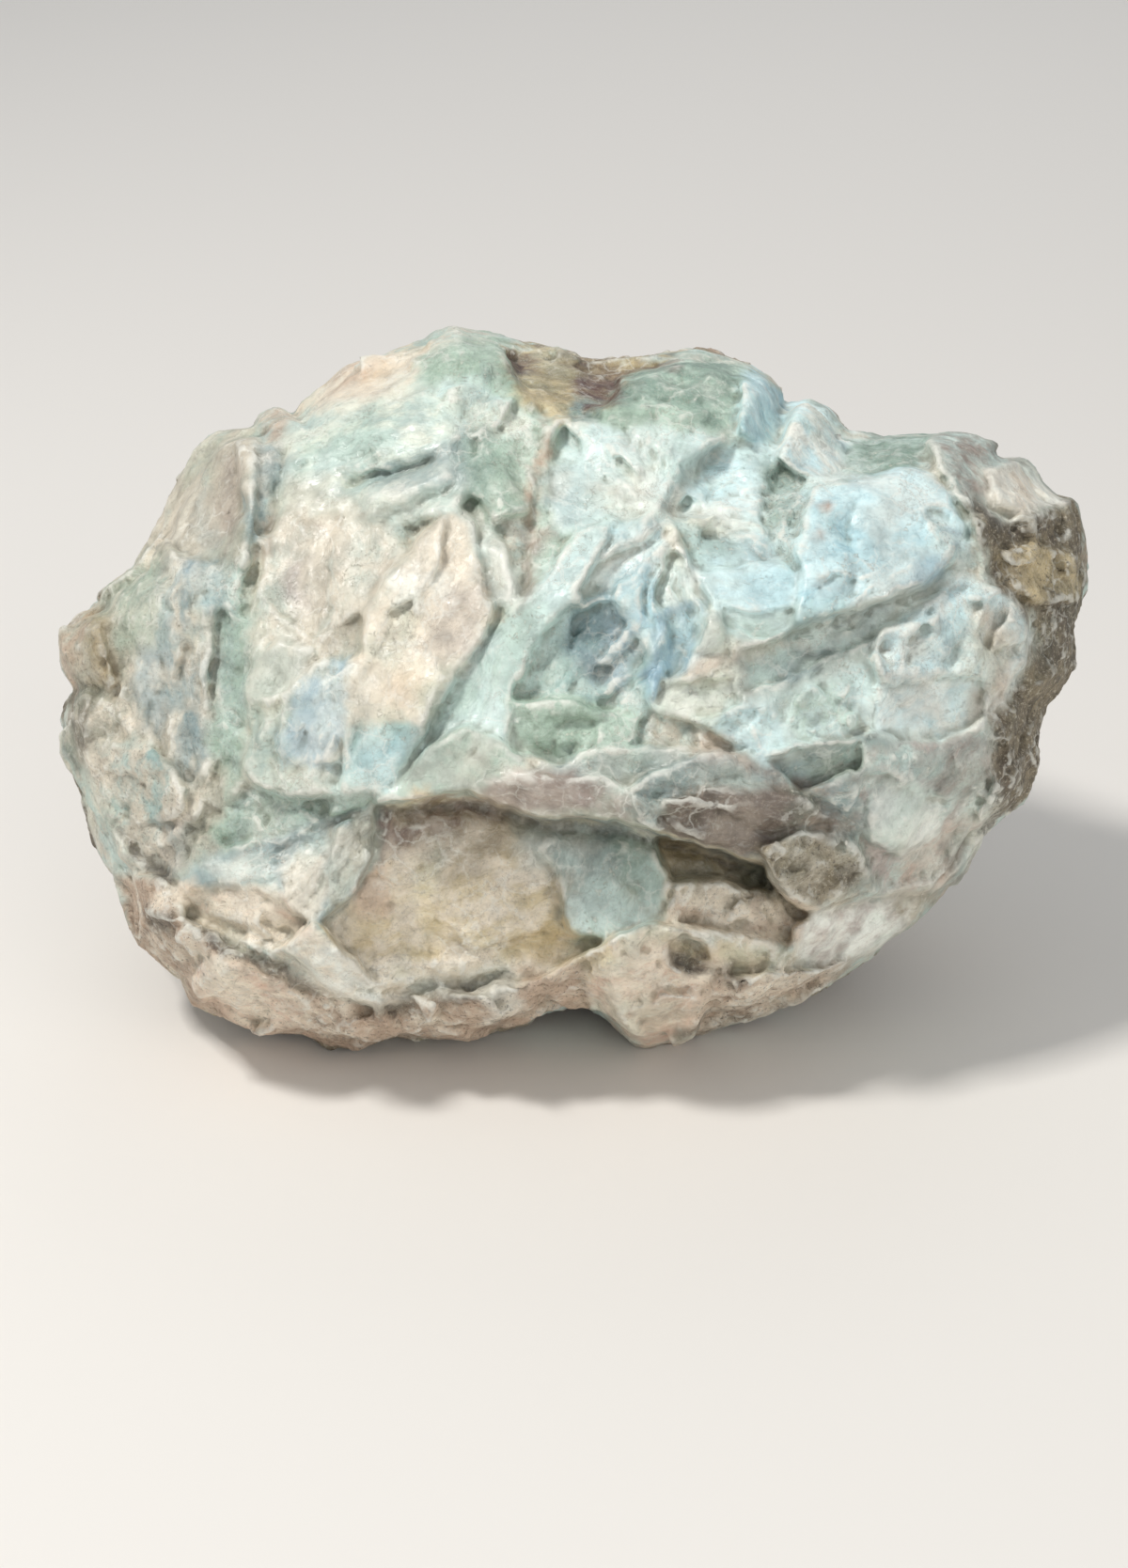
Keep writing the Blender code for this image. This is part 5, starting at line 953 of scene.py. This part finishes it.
def colour_face(x, y):
    """Each spot of the face: its own colour, its flecks' colour, fleck share, grit, grain and break."""
    count = len(x)
    own = np.tile(linear("mist"), (count, 1))
    fleck = np.tile(linear("pearl"), (count, 1))
    share, grit = np.full(count, 0.45), np.full(count, 0.3)
    grain = np.stack([x, y], axis=1) * SKETCH_UNIT
    label = np.zeros(count, int)
    for number, (name, kind, way, _, _, _, edge, corners) in enumerate(BREAKS, 1):
        soft = BORDER[0] + BORDER[1] * edge
        at = near(x, y, corners, soft)
        mix = smooth_step(inside_of(x[at], y[at], corners), -soft, soft)
        first, second, part, rough = SHADES[name]
        own[at] += mix[:, None] * (linear(first) - own[at])
        fleck[at] += mix[:, None] * (linear(second) - fleck[at])
        share[at] += mix * (part - share[at])
        grit[at] += mix * (rough - grit[at])
        c, s = math.cos(math.radians(way)), math.sin(math.radians(way))
        _, stretch, _ = KINDS[kind]
        lies = mix > 0.5
        gx, gy = x[at][lies], y[at][lies]
        grain[at[lies]] = np.stack(
            [(gx * c - gy * s) / stretch, (gx * s + gy * c)], axis=1
        ) * SKETCH_UNIT + 3.0 * number
        label[at[lies]] = number
    for number, fan in enumerate(FANS):
        radius, turn, part = in_fan(x, y, fan)
        lies = part > 0.35
        grain[lies] = np.stack([radius[lies] / 3.0, 1.3 * fan[3] * turn[lies]], axis=1) + 50.0 + 7.0 * number
        label[lies] = len(BREAKS) + 1 + number
        place = 1.6 * turn * fan[3] + 0.8 * noise_field(np.stack([x, y, 0.0 * x], axis=1), 60.0, 3, 4.8)
        light = part * np.sin(np.floor(place) * 12.9 + number) * (0.5 + 0.5 * np.abs(place % 1.0 - 0.5))
        light *= fan[0] not in PLAIN_FANS
        for tone, strength in (("white", np.maximum(light, 0.0)), ("haze", np.maximum(-light, 0.0))):
            own += BLADE_SHADE * strength[:, None] * (linear(tone) - own)
            fleck += BLADE_SHADE * strength[:, None] * (linear(tone) - fleck)
    for colour, strength, soft, corners in PATCHES:
        at = near(x, y, corners, soft)
        mix = strength * smooth_step(inside_of(x[at], y[at], corners), -soft, soft)
        own[at] += mix[:, None] * (linear(colour) - own[at])
        fleck[at] += 0.6 * mix[:, None] * (linear(colour) - fleck[at])
    return own, fleck, share, grit, grain, label


def colour_rock(places):
    """The hidden side: host rock, with a few seams of larimar in it."""
    count = len(places)
    big = noise_field(places, 13.0, 4, 5.5)
    small = noise_field(places, 4.0, 4, 9.5)
    tones = [linear(c) for c in ("bark", "rock", "clay", "olive")]
    own = np.tile(tones[0], (count, 1))
    for tone, low in zip(tones[1:], (-0.25, 0.15, 0.40)):
        mix = smooth_step(big + 0.4 * small, low - 0.08, low + 0.12)[:, None]
        own += mix * (tone - own)
    fleck = own * 0.45 + 0.35 * linear("stone")
    seam = smooth_step(noise_field(places * (1.0, 1.6, 1.0), 15.0, 5, 21.3) + 0.2 * small, 0.30, 0.46)
    for spread, tone in ((own, "mist"), (fleck, "ice")):
        spread += seam[:, None] * (linear(tone) - spread)
    return own, fleck, np.full(count, 0.45), 1.0 - 0.6 * seam, places[:, :2].copy()


def stone_in_sketch(points):
    """Takes points of the standing stone, in metres, back to sketch x, sketch y and depth in mm."""
    lean = math.radians(LEAN_DEGREES)
    c, s = math.cos(lean), math.sin(lean)
    across = points[:, 0] / MM + MIDDLE_X
    out = points[:, 1] / MM + MIDDLE_Y
    high = points[:, 2] / MM - REST_HEIGHT
    up, depth = out * s + high * c, high * s - out * c
    shrink = 1.0 - depth / EYE_DISTANCE
    x = SKETCH_MIDDLE[0] + across / shrink / SKETCH_UNIT
    y = SKETCH_MIDDLE[1] - up / shrink / SKETCH_UNIT
    return x, y, depth


def vertex_array(mesh, name="co"):
    values = np.empty(len(mesh.vertices) * 3)
    mesh.vertices.foreach_get(name, values)
    return values.reshape(-1, 3)


def bulge(mesh, places, normals, passes=2):
    """How far each vertex stands proud of its neighbours, in mm: above nought on edges, below in cracks."""
    edges = np.empty(len(mesh.edges) * 2, int)
    mesh.edges.foreach_get("vertices", edges)
    a, b = edges.reshape(-1, 2).T
    count = np.bincount(a, minlength=len(places)) + np.bincount(b, minlength=len(places))
    mean = places.copy()
    for _ in range(passes):
        total = np.zeros_like(places)
        for k in range(3):
            total[:, k] = np.bincount(a, mean[b, k], len(places)) + np.bincount(b, mean[a, k], len(places))
        mean = total / count[:, None]
    return np.sum((places - mean) * normals, axis=1)


def joins(mesh, label):
    """1 at vertices where two breaks meet, because the grain jumps there, and 0 elsewhere."""
    edges = np.empty(len(mesh.edges) * 2, int)
    mesh.edges.foreach_get("vertices", edges)
    a, b = edges.reshape(-1, 2).T
    differ = label[a] != label[b]
    found = np.zeros(len(label))
    found[a[differ]] = 1.0
    found[b[differ]] = 1.0
    return found


def store(mesh, name, kind, values):
    layer = mesh.attributes.new(name, kind, "POINT")
    if kind == "FLOAT_COLOR":
        values = np.column_stack([values, np.ones(len(values))])
        layer.data.foreach_set("color", values.ravel())
    else:
        layer.data.foreach_set("vector", values.ravel())


def hidden_share(places, normals, x, y, depth):
    """How far each vertex belongs to the hidden side: 0 on the face, 1 behind its rim."""
    middle = from_heart(x, y, depth)
    ahead = depth - RIM_LEAN * (y - HEART[1]) * SKETCH_UNIT
    ahead += 7.0 * smooth_step(normals[:, 2], 0.2, 0.95)
    ahead += 6.0 * noise_field(middle, 13.0, 4, 2.2) + 2.5 * noise_field(middle, 4.0, 4, 6.8)
    return 1.0 - smooth_step(ahead, -2.2, 0.5)


def from_heart(x, y, depth):
    return np.stack([(x - HEART[0]) * SKETCH_UNIT, (HEART[1] - y) * SKETCH_UNIT, -depth], axis=1)


def drawn_at(x, y, depth):
    """Sketch points moved a little, so that colours don't end on the drawn lines."""
    ground = np.stack([x, y, depth / SKETCH_UNIT], axis=1)
    wander_x, wander_y = x.copy(), y.copy()
    behind = 1.0 + 0.25 * np.clip(7.0 - depth, 0.0, 14.0)
    for reach, size in WANDER:
        wander_x += reach * behind * noise_field(ground, size, 4, 11.7)
        wander_y += reach * behind * noise_field(ground, size, 4, 18.2)
    return wander_x, wander_y


def grit_of(x, y):
    """How gritty the face is: 1 on host rock, 0 on clear larimar."""
    grit = np.full(len(x), 0.3)
    for name, _, _, _, _, _, edge, corners in BREAKS:
        soft = BORDER[0] + BORDER[1] * edge
        at = near(x, y, corners, soft)
        grit[at] += smooth_step(inside_of(x[at], y[at], corners), -soft, soft) * (SHADES[name][3] - grit[at])
    return grit


def roughen(mesh):
    """Adds the fine roughness to the even mesh and notes its edges and hollows."""
    places, normals = vertex_array(mesh), vertex_array(mesh, "normal")
    x, y, depth = stone_in_sketch(places)
    middle = from_heart(x, y, depth)
    grit = grit_of(x, y)
    grit += hidden_share(places, normals, x, y, depth) * (1.0 - grit)
    fine = 0.10 * noise_field(middle, 1.6, 3, 4.1) + 0.16 * hackle_field(middle, 1.7, 7.7)
    fine *= 0.25 + 0.75 * grit
    fine -= 0.45 * grit * smooth_step(noise_field(middle, 2.4, 2, 13.3), 0.25, 0.7)
    places += normals * (fine * MM)[:, None]
    mesh.vertices.foreach_set("co", places.ravel())
    mesh.update()
    normals = vertex_array(mesh, "normal")
    # These measures drive the pale chalk on edges and the painted shade in cracks and in larger hollows
    chalk_and_crease_shade = np.clip(bulge(mesh, places / MM, normals, 4) * 6.0, -1.0, 1.0)
    hollow = np.clip(bulge(mesh, places / MM, normals, 30) * 1.5, -1.0, 1.0)
    store(mesh, "chalk_and_crease_shade", "FLOAT_VECTOR", np.stack([chalk_and_crease_shade, hollow, grit], axis=1))


def colour_surface(mesh):
    """Gives each vertex its colours and its place on the grain."""
    places, normals = vertex_array(mesh), vertex_array(mesh, "normal")
    x, y, depth = stone_in_sketch(places)
    own, fleck, share, grit, grain, label = colour_face(*drawn_at(x, y, depth))
    rock_own, rock_fleck, rock_share, rock_grit, rock_grain = colour_rock(from_heart(x, y, depth))
    hidden = hidden_share(places, normals, x, y, depth)
    mix = hidden[:, None]
    own += mix * (rock_own - own)
    fleck += mix * (rock_fleck - fleck)
    share += hidden * (rock_share - share)
    grit += hidden * (rock_grit - grit)
    grain[hidden > 0.5] = rock_grain[hidden > 0.5]
    label[hidden > 0.5] = -1
    store(mesh, "own", "FLOAT_COLOR", own)
    store(mesh, "fleck", "FLOAT_COLOR", fleck)
    store(mesh, "habit", "FLOAT_VECTOR", np.stack([share, grit, joins(mesh, label)], axis=1))
    store(mesh, "grain", "FLOAT_VECTOR", np.column_stack([grain, depth]))


class Nodes:
    """Short ways to add shader nodes to one material."""

    def __init__(self, material):
        self.tree = material.node_tree

    def add(self, kind, inputs=(), **settings):
        node = self.tree.nodes.new(kind)
        for key, value in settings.items():
            setattr(node, key, value)
        for key, value in dict(inputs).items():
            self.put(node.inputs[key], value)
        return node

    def put(self, socket, value):
        if hasattr(value, "links"):
            self.tree.links.new(value, socket)
        else:
            socket.default_value = value

    def attribute(self, name):
        return self.add("ShaderNodeAttribute", attribute_name=name)

    def parts(self, name):
        node = self.add("ShaderNodeSeparateXYZ", {0: self.attribute(name).outputs["Vector"]})
        return node.outputs

    def noise(self, place, scale, detail=4.0, rough=0.55, distort=0.0):
        inputs = {"Vector": place, "Scale": scale, "Detail": detail, "Roughness": rough, "Distortion": distort}
        return self.add("ShaderNodeTexNoise", inputs).outputs["Fac"]

    def facets(self, place, scale):
        """Small tilted planes, one to a cell, as heights."""
        cell = self.add("ShaderNodeTexVoronoi", {"Vector": place, "Scale": scale})
        away = self.add("ShaderNodeVectorMath", {0: place, 1: cell.outputs["Position"]}, operation="SUBTRACT")
        tilt = self.add(
            "ShaderNodeVectorMath", {0: cell.outputs["Color"], 1: (0.5, 0.5, 0.5)}, operation="SUBTRACT"
        )
        rise = self.add("ShaderNodeVectorMath", {0: away.outputs[0], 1: tilt.outputs[0]}, operation="DOT_PRODUCT")
        return rise.outputs["Value"]

    def math(self, kind, a, b=0.0, c=0.0, clamp=False):
        inputs = {0: a, 1: b, 2: c} if kind == "MULTIPLY_ADD" else {0: a, 1: b}
        return self.add("ShaderNodeMath", inputs, operation=kind, use_clamp=clamp).outputs[0]

    def between(self, value, low, high, new_low=0.0, new_high=1.0):
        inputs = {0: value, 1: low, 2: high, 3: new_low, 4: new_high}
        return self.add("ShaderNodeMapRange", inputs, interpolation_type="SMOOTHSTEP").outputs[0]

    def mix(self, share, a, b, kind="MIX"):
        node = self.add("ShaderNodeMix", data_type="RGBA", blend_type=kind)
        for socket, value in zip((node.inputs[0], node.inputs[6], node.inputs[7]), (share, a, b)):
            self.put(socket, value)
        return node.outputs[2]


def stone_material():
    material = bpy.data.materials.new("larimar_stone")
    material.use_nodes = True
    n = Nodes(material)
    shader = material.node_tree.nodes["Principled BSDF"]
    own = n.attribute("own").outputs["Color"]
    fleck = n.attribute("fleck").outputs["Color"]
    share, grit, join = n.parts("habit")
    plain = n.math("SUBTRACT", 1.0, join)
    # How far the surface stands proud or sinks, for pale chalk on edges and painted shade in cracks, and how deep
    # it lies in a hollow, for painted shade there
    chalk_and_crease_shade, hollow, _ = n.parts("chalk_and_crease_shade")
    grain = n.attribute("grain").outputs["Vector"]
    place = n.add("ShaderNodeTexCoord").outputs["Object"]
    place = n.add("ShaderNodeVectorMath", {0: place, 3: 1000.0}, operation="SCALE").outputs[0]

    cloud = n.noise(place, 0.15, 6.0, 0.60)
    streak = n.noise(grain, 0.38, 7.0, 0.62, 0.2)
    streak = n.math("MULTIPLY_ADD", n.math("SUBTRACT", streak, 0.5), plain, 0.5)
    both = n.math("MULTIPLY_ADD", streak, 0.55, n.math("MULTIPLY", cloud, 0.45))
    limit = n.math("MULTIPLY_ADD", share, -0.30, 0.65)
    over = n.math("SUBTRACT", both, limit)
    colour = n.mix(n.between(over, -0.10, 0.09), own, fleck)

    tint = n.noise(place, 0.085, 5.0, 0.6)
    calm = n.math("MULTIPLY_ADD", grit, -0.8, 1.0, clamp=True)
    green = n.math("MULTIPLY", n.between(tint, 0.50, 0.66, 0.0, 0.30), calm)
    colour = n.mix(green, colour, (0.42, 0.58, 0.46, 1.0))
    warm = n.math("MULTIPLY", n.between(tint, 0.48, 0.34, 0.0, 0.30), calm)
    colour = n.mix(warm, colour, (0.74, 0.64, 0.52, 1.0))

    fibre = n.noise(grain, 2.2, 4.0, 0.62)
    fibre = n.math("MULTIPLY_ADD", n.math("SUBTRACT", fibre, 0.5), plain, 0.5)
    pale = n.math("MULTIPLY", n.between(fibre, 0.50, 0.70, 0.0, 0.22), calm)
    colour = n.mix(pale, colour, (0.84, 0.88, 0.83, 1.0))
    colour = n.mix(1.0, colour, n.between(fibre, 0.28, 0.48, 0.86, 1.0), "MULTIPLY")

    depth = n.noise(place, 0.42, 5.0, 0.62)
    colour = n.mix(1.0, colour, n.between(depth, 0.34, 0.62, 0.82, 1.06), "MULTIPLY")
    bent = n.add("ShaderNodeTexNoise", {"Vector": place, "Scale": 0.5, "Detail": 4.0}).outputs["Color"]
    bent = n.add("ShaderNodeVectorMath", {0: bent, 1: (3.0, 3.0, 3.0), 2: place}, operation="MULTIPLY_ADD")
    scale = n.add("ShaderNodeTexVoronoi", {"Vector": bent.outputs[0], "Scale": 0.30}, feature="DISTANCE_TO_EDGE")
    scale = n.between(scale.outputs["Distance"], 0.055, 0.015)
    scale = n.math("MULTIPLY", scale, n.between(cloud, 0.46, 0.58, 0.0, 0.32))
    colour = n.mix(scale, colour, (0.84, 0.84, 0.77, 1.0))

    speck = n.noise(place, 2.4, 4.0, 0.68)
    dark = n.math("MULTIPLY", n.between(speck, 0.55, 0.65, 0.0, 0.70), grit)
    colour = n.mix(dark, colour, (0.075, 0.062, 0.048, 1.0))
    light = n.math("MULTIPLY", n.between(speck, 0.45, 0.36, 0.0, 0.55), grit)
    colour = n.mix(light, colour, (0.66, 0.60, 0.48, 1.0))

    crumb = n.noise(place, 1.5, 5.0, 0.75)
    where = n.between(n.noise(place, 0.17, 4.0, 0.6), 0.50, 0.64)
    crumb = n.math("MULTIPLY", n.between(crumb, 0.57, 0.62), where)
    colour = n.mix(n.math("MULTIPLY", crumb, 0.45), colour, (0.80, 0.77, 0.66, 1.0))

    line = n.noise(place, 0.30, 7.0, 0.66)
    line = n.math("ABSOLUTE", n.math("SUBTRACT", line, 0.5))
    vein = n.math("MULTIPLY", n.between(line, 0.010, 0.003), n.between(cloud, 0.50, 0.60))
    colour = n.mix(n.math("MULTIPLY", vein, 0.40), colour, (0.32, 0.24, 0.18, 1.0))

    chalk = n.between(chalk_and_crease_shade, 0.15, 0.8, 0.0, 0.6)
    chalk = n.math("MULTIPLY", chalk, n.between(cloud, 0.42, 0.56))
    colour = n.mix(chalk, colour, (0.84, 0.83, 0.75, 1.0))
    # Painted shade: the colour is darkened to about half in cracks and in the larger hollows, where shade falls
    tone = n.mix(1.0, colour, (0.55, 0.54, 0.50, 1.0), "MULTIPLY")
    colour = n.mix(n.between(chalk_and_crease_shade, -0.15, -0.9, 0.0, 0.75), colour, tone)
    colour = n.mix(n.between(hollow, -0.1, -1.0, 0.0, 0.45), colour, tone)
    n.put(shader.inputs["Base Color"], colour)

    rough = n.between(n.noise(place, 0.9, 4.0), 0.3, 0.7, 0.30, 0.56)
    rough = n.math("MULTIPLY_ADD", grit, 0.32, rough, clamp=True)
    n.put(shader.inputs["Roughness"], rough)
    shader.inputs["Specular IOR Level"].default_value = 0.5
    shader.inputs["IOR"].default_value = 1.6

    height = n.math("MULTIPLY", n.facets(grain, 0.8), n.math("MULTIPLY", plain, 0.35))
    height = n.math("MULTIPLY_ADD", n.facets(place, 1.1), n.math("MULTIPLY_ADD", grit, 0.25, 0.12), height)
    height = n.math("MULTIPLY_ADD", n.facets(place, 2.7), n.math("MULTIPLY_ADD", grit, 0.35, 0.08), height)
    height = n.math("MULTIPLY_ADD", fibre, 0.12, height)
    crumbs = n.math("MULTIPLY", n.noise(place, 2.6, 4.0, 0.7), 0.28)
    height = n.math("MULTIPLY_ADD", crumbs, grit, height)
    height = n.math("MULTIPLY_ADD", crumb, 0.08, height)
    bump = n.add("ShaderNodeBump", {"Height": height, "Distance": MM, "Strength": 0.8})
    n.put(shader.inputs["Normal"], bump.outputs[0])
    return material


def refine_face(mesh):
    """Splits the faces of the show side once more, so that its edges come out crisp."""
    bm = bmesh.new()
    bm.from_mesh(mesh)
    face = [e for e in bm.edges if e.verts[0].co.z + e.verts[1].co.z > -0.1]
    bmesh.ops.subdivide_edges(bm, edges=face, cuts=1, use_grid_fill=True)
    bmesh.ops.triangulate(bm, faces=[f for f in bm.faces if len(f.verts) > 3])
    bm.to_mesh(mesh)
    bm.free()


def keep_largest(mesh):
    """Drops the small separate shells that evening out a rough form can leave."""
    edges = np.empty(len(mesh.edges) * 2, int)
    mesh.edges.foreach_get("vertices", edges)
    a, b = edges.reshape(-1, 2).T
    label = np.arange(len(mesh.vertices))
    while True:
        low = np.minimum(label[a], label[b])
        fresh = label.copy()
        np.minimum.at(fresh, a, low)
        np.minimum.at(fresh, b, low)
        fresh = fresh[fresh]
        if np.array_equal(fresh, label):
            break
        label = fresh
    main = np.bincount(label).argmax()
    extra = np.flatnonzero(label != main)
    if len(extra):
        bm = bmesh.new()
        bm.from_mesh(mesh)
        bm.verts.ensure_lookup_table()
        bmesh.ops.delete(bm, geom=[bm.verts[i] for i in extra], context="VERTS")
        bm.to_mesh(mesh)
        bm.free()


def baked(thing):
    """Gives a piece the mesh that its modifiers make, and drops them."""
    graph = bpy.context.evaluated_depsgraph_get()
    graph.update()
    old = thing.data
    thing.data = bpy.data.meshes.new_from_object(thing.evaluated_get(graph))
    thing.modifiers.clear()
    bpy.data.meshes.remove(old)


def make_stone():
    bpy.ops.mesh.primitive_ico_sphere_add(subdivisions=8, radius=1.0)
    stone = bpy.context.active_object
    stone.name = "larimar_lump"
    refine_face(stone.data)
    directions = vertex_array(stone.data)
    directions /= np.linalg.norm(directions, axis=1)[:, None]
    stone.data.vertices.foreach_set("co", stand(*sculpt(directions)).ravel())
    even = stone.modifiers.new("even cells", "REMESH")
    even.mode = "VOXEL"
    even.voxel_size = FINE_CELL * MM
    baked(stone)
    keep_largest(stone.data)
    roughen(stone.data)

    mesh = stone.data
    _, y, depth = stone_in_sketch(vertex_array(mesh))
    behind = depth - RIM_LEAN * (y - HEART[1]) * SKETCH_UNIT < -3.0
    group = stone.vertex_groups.new(name="hidden side")
    group.add(np.flatnonzero(behind).tolist(), 1.0, "REPLACE")
    group.add(np.flatnonzero(~behind).tolist(), 0.5, "REPLACE")
    mesh.calc_loop_triangles()
    fewer = stone.modifiers.new("fewer cells behind", "DECIMATE")
    fewer.ratio = min(1.0, MOST_TRIANGLES / len(mesh.loop_triangles))
    fewer.vertex_group = group.name
    fewer.vertex_group_factor = 0.00005
    fewer.use_collapse_triangulate = True
    baked(stone)
    stone.vertex_groups.clear()

    mesh = stone.data
    places = np.clip(vertex_array(mesh), *np.array(cad_box))
    mesh.vertices.foreach_set("co", places.ravel())
    colour_surface(mesh)
    stone.data.shade_smooth()
    stone.data.materials.clear()
    stone.data.materials.append(stone_material())
    return stone


def aim(thing, target):
    thing.rotation_euler = (Vector(target) - thing.location).to_track_quat("-Z", "Y").to_euler()


def add_light(name, place, size, power, colour=(1.0, 1.0, 1.0)):
    light = bpy.data.lights.new(name, "AREA")
    light.size = size
    light.energy = power
    light.color = colour
    lamp = bpy.data.objects.new(name, light)
    lamp.location = place
    aim(lamp, (0.0, 0.0, 0.03))
    bpy.context.scene.collection.objects.link(lamp)


def make_floor():
    bpy.ops.mesh.primitive_plane_add(size=6.0)
    floor = bpy.context.active_object
    floor.name = "floor"
    material = bpy.data.materials.new("floor")
    material.use_nodes = True
    shader = material.node_tree.nodes["Principled BSDF"]
    shader.inputs["Base Color"].default_value = (*FLOOR_COLOUR, 1.0)
    shader.inputs["Roughness"].default_value = 0.9
    floor.data.materials.append(material)


def make_camera():
    lean = math.radians(LEAN_DEGREES)
    back = Vector((0.0, -math.cos(lean), math.sin(lean)))
    camera = bpy.data.cameras.new("camera")
    camera.sensor_fit = "AUTO"
    camera.sensor_width = SENSOR
    camera.lens = SENSOR * EYE_DISTANCE / (PHOTO_HEIGHT * SKETCH_UNIT)
    eye = bpy.data.objects.new("camera", camera)
    eye.location = (Vector((-MIDDLE_X, -MIDDLE_Y, REST_HEIGHT)) + back * EYE_DISTANCE) * MM
    eye.rotation_euler = (math.pi / 2 - lean, 0.0, 0.0)
    bpy.context.scene.collection.objects.link(eye)
    bpy.context.scene.camera = eye


stone = make_stone()
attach(stone, "root")
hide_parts("larimar")
make_floor()
make_camera()
add_light("key", (-0.30, -0.14, 0.58), 0.10, 2.8, (1.0, 0.975, 0.94))
add_light("fill", (0.34, -0.68, 0.30), 0.80, 2.6, (1.0, 0.985, 0.96))
add_light("back", (0.10, 0.60, 0.50), 0.50, 0.8)
world = bpy.data.worlds.new("studio")
world.use_nodes = True
world.node_tree.nodes["Background"].inputs["Color"].default_value = (0.92, 0.96, 1.0, 1.0)
world.node_tree.nodes["Background"].inputs["Strength"].default_value = 0.40
bpy.context.scene.world = world
bpy.context.scene.view_settings.view_transform = "Standard"
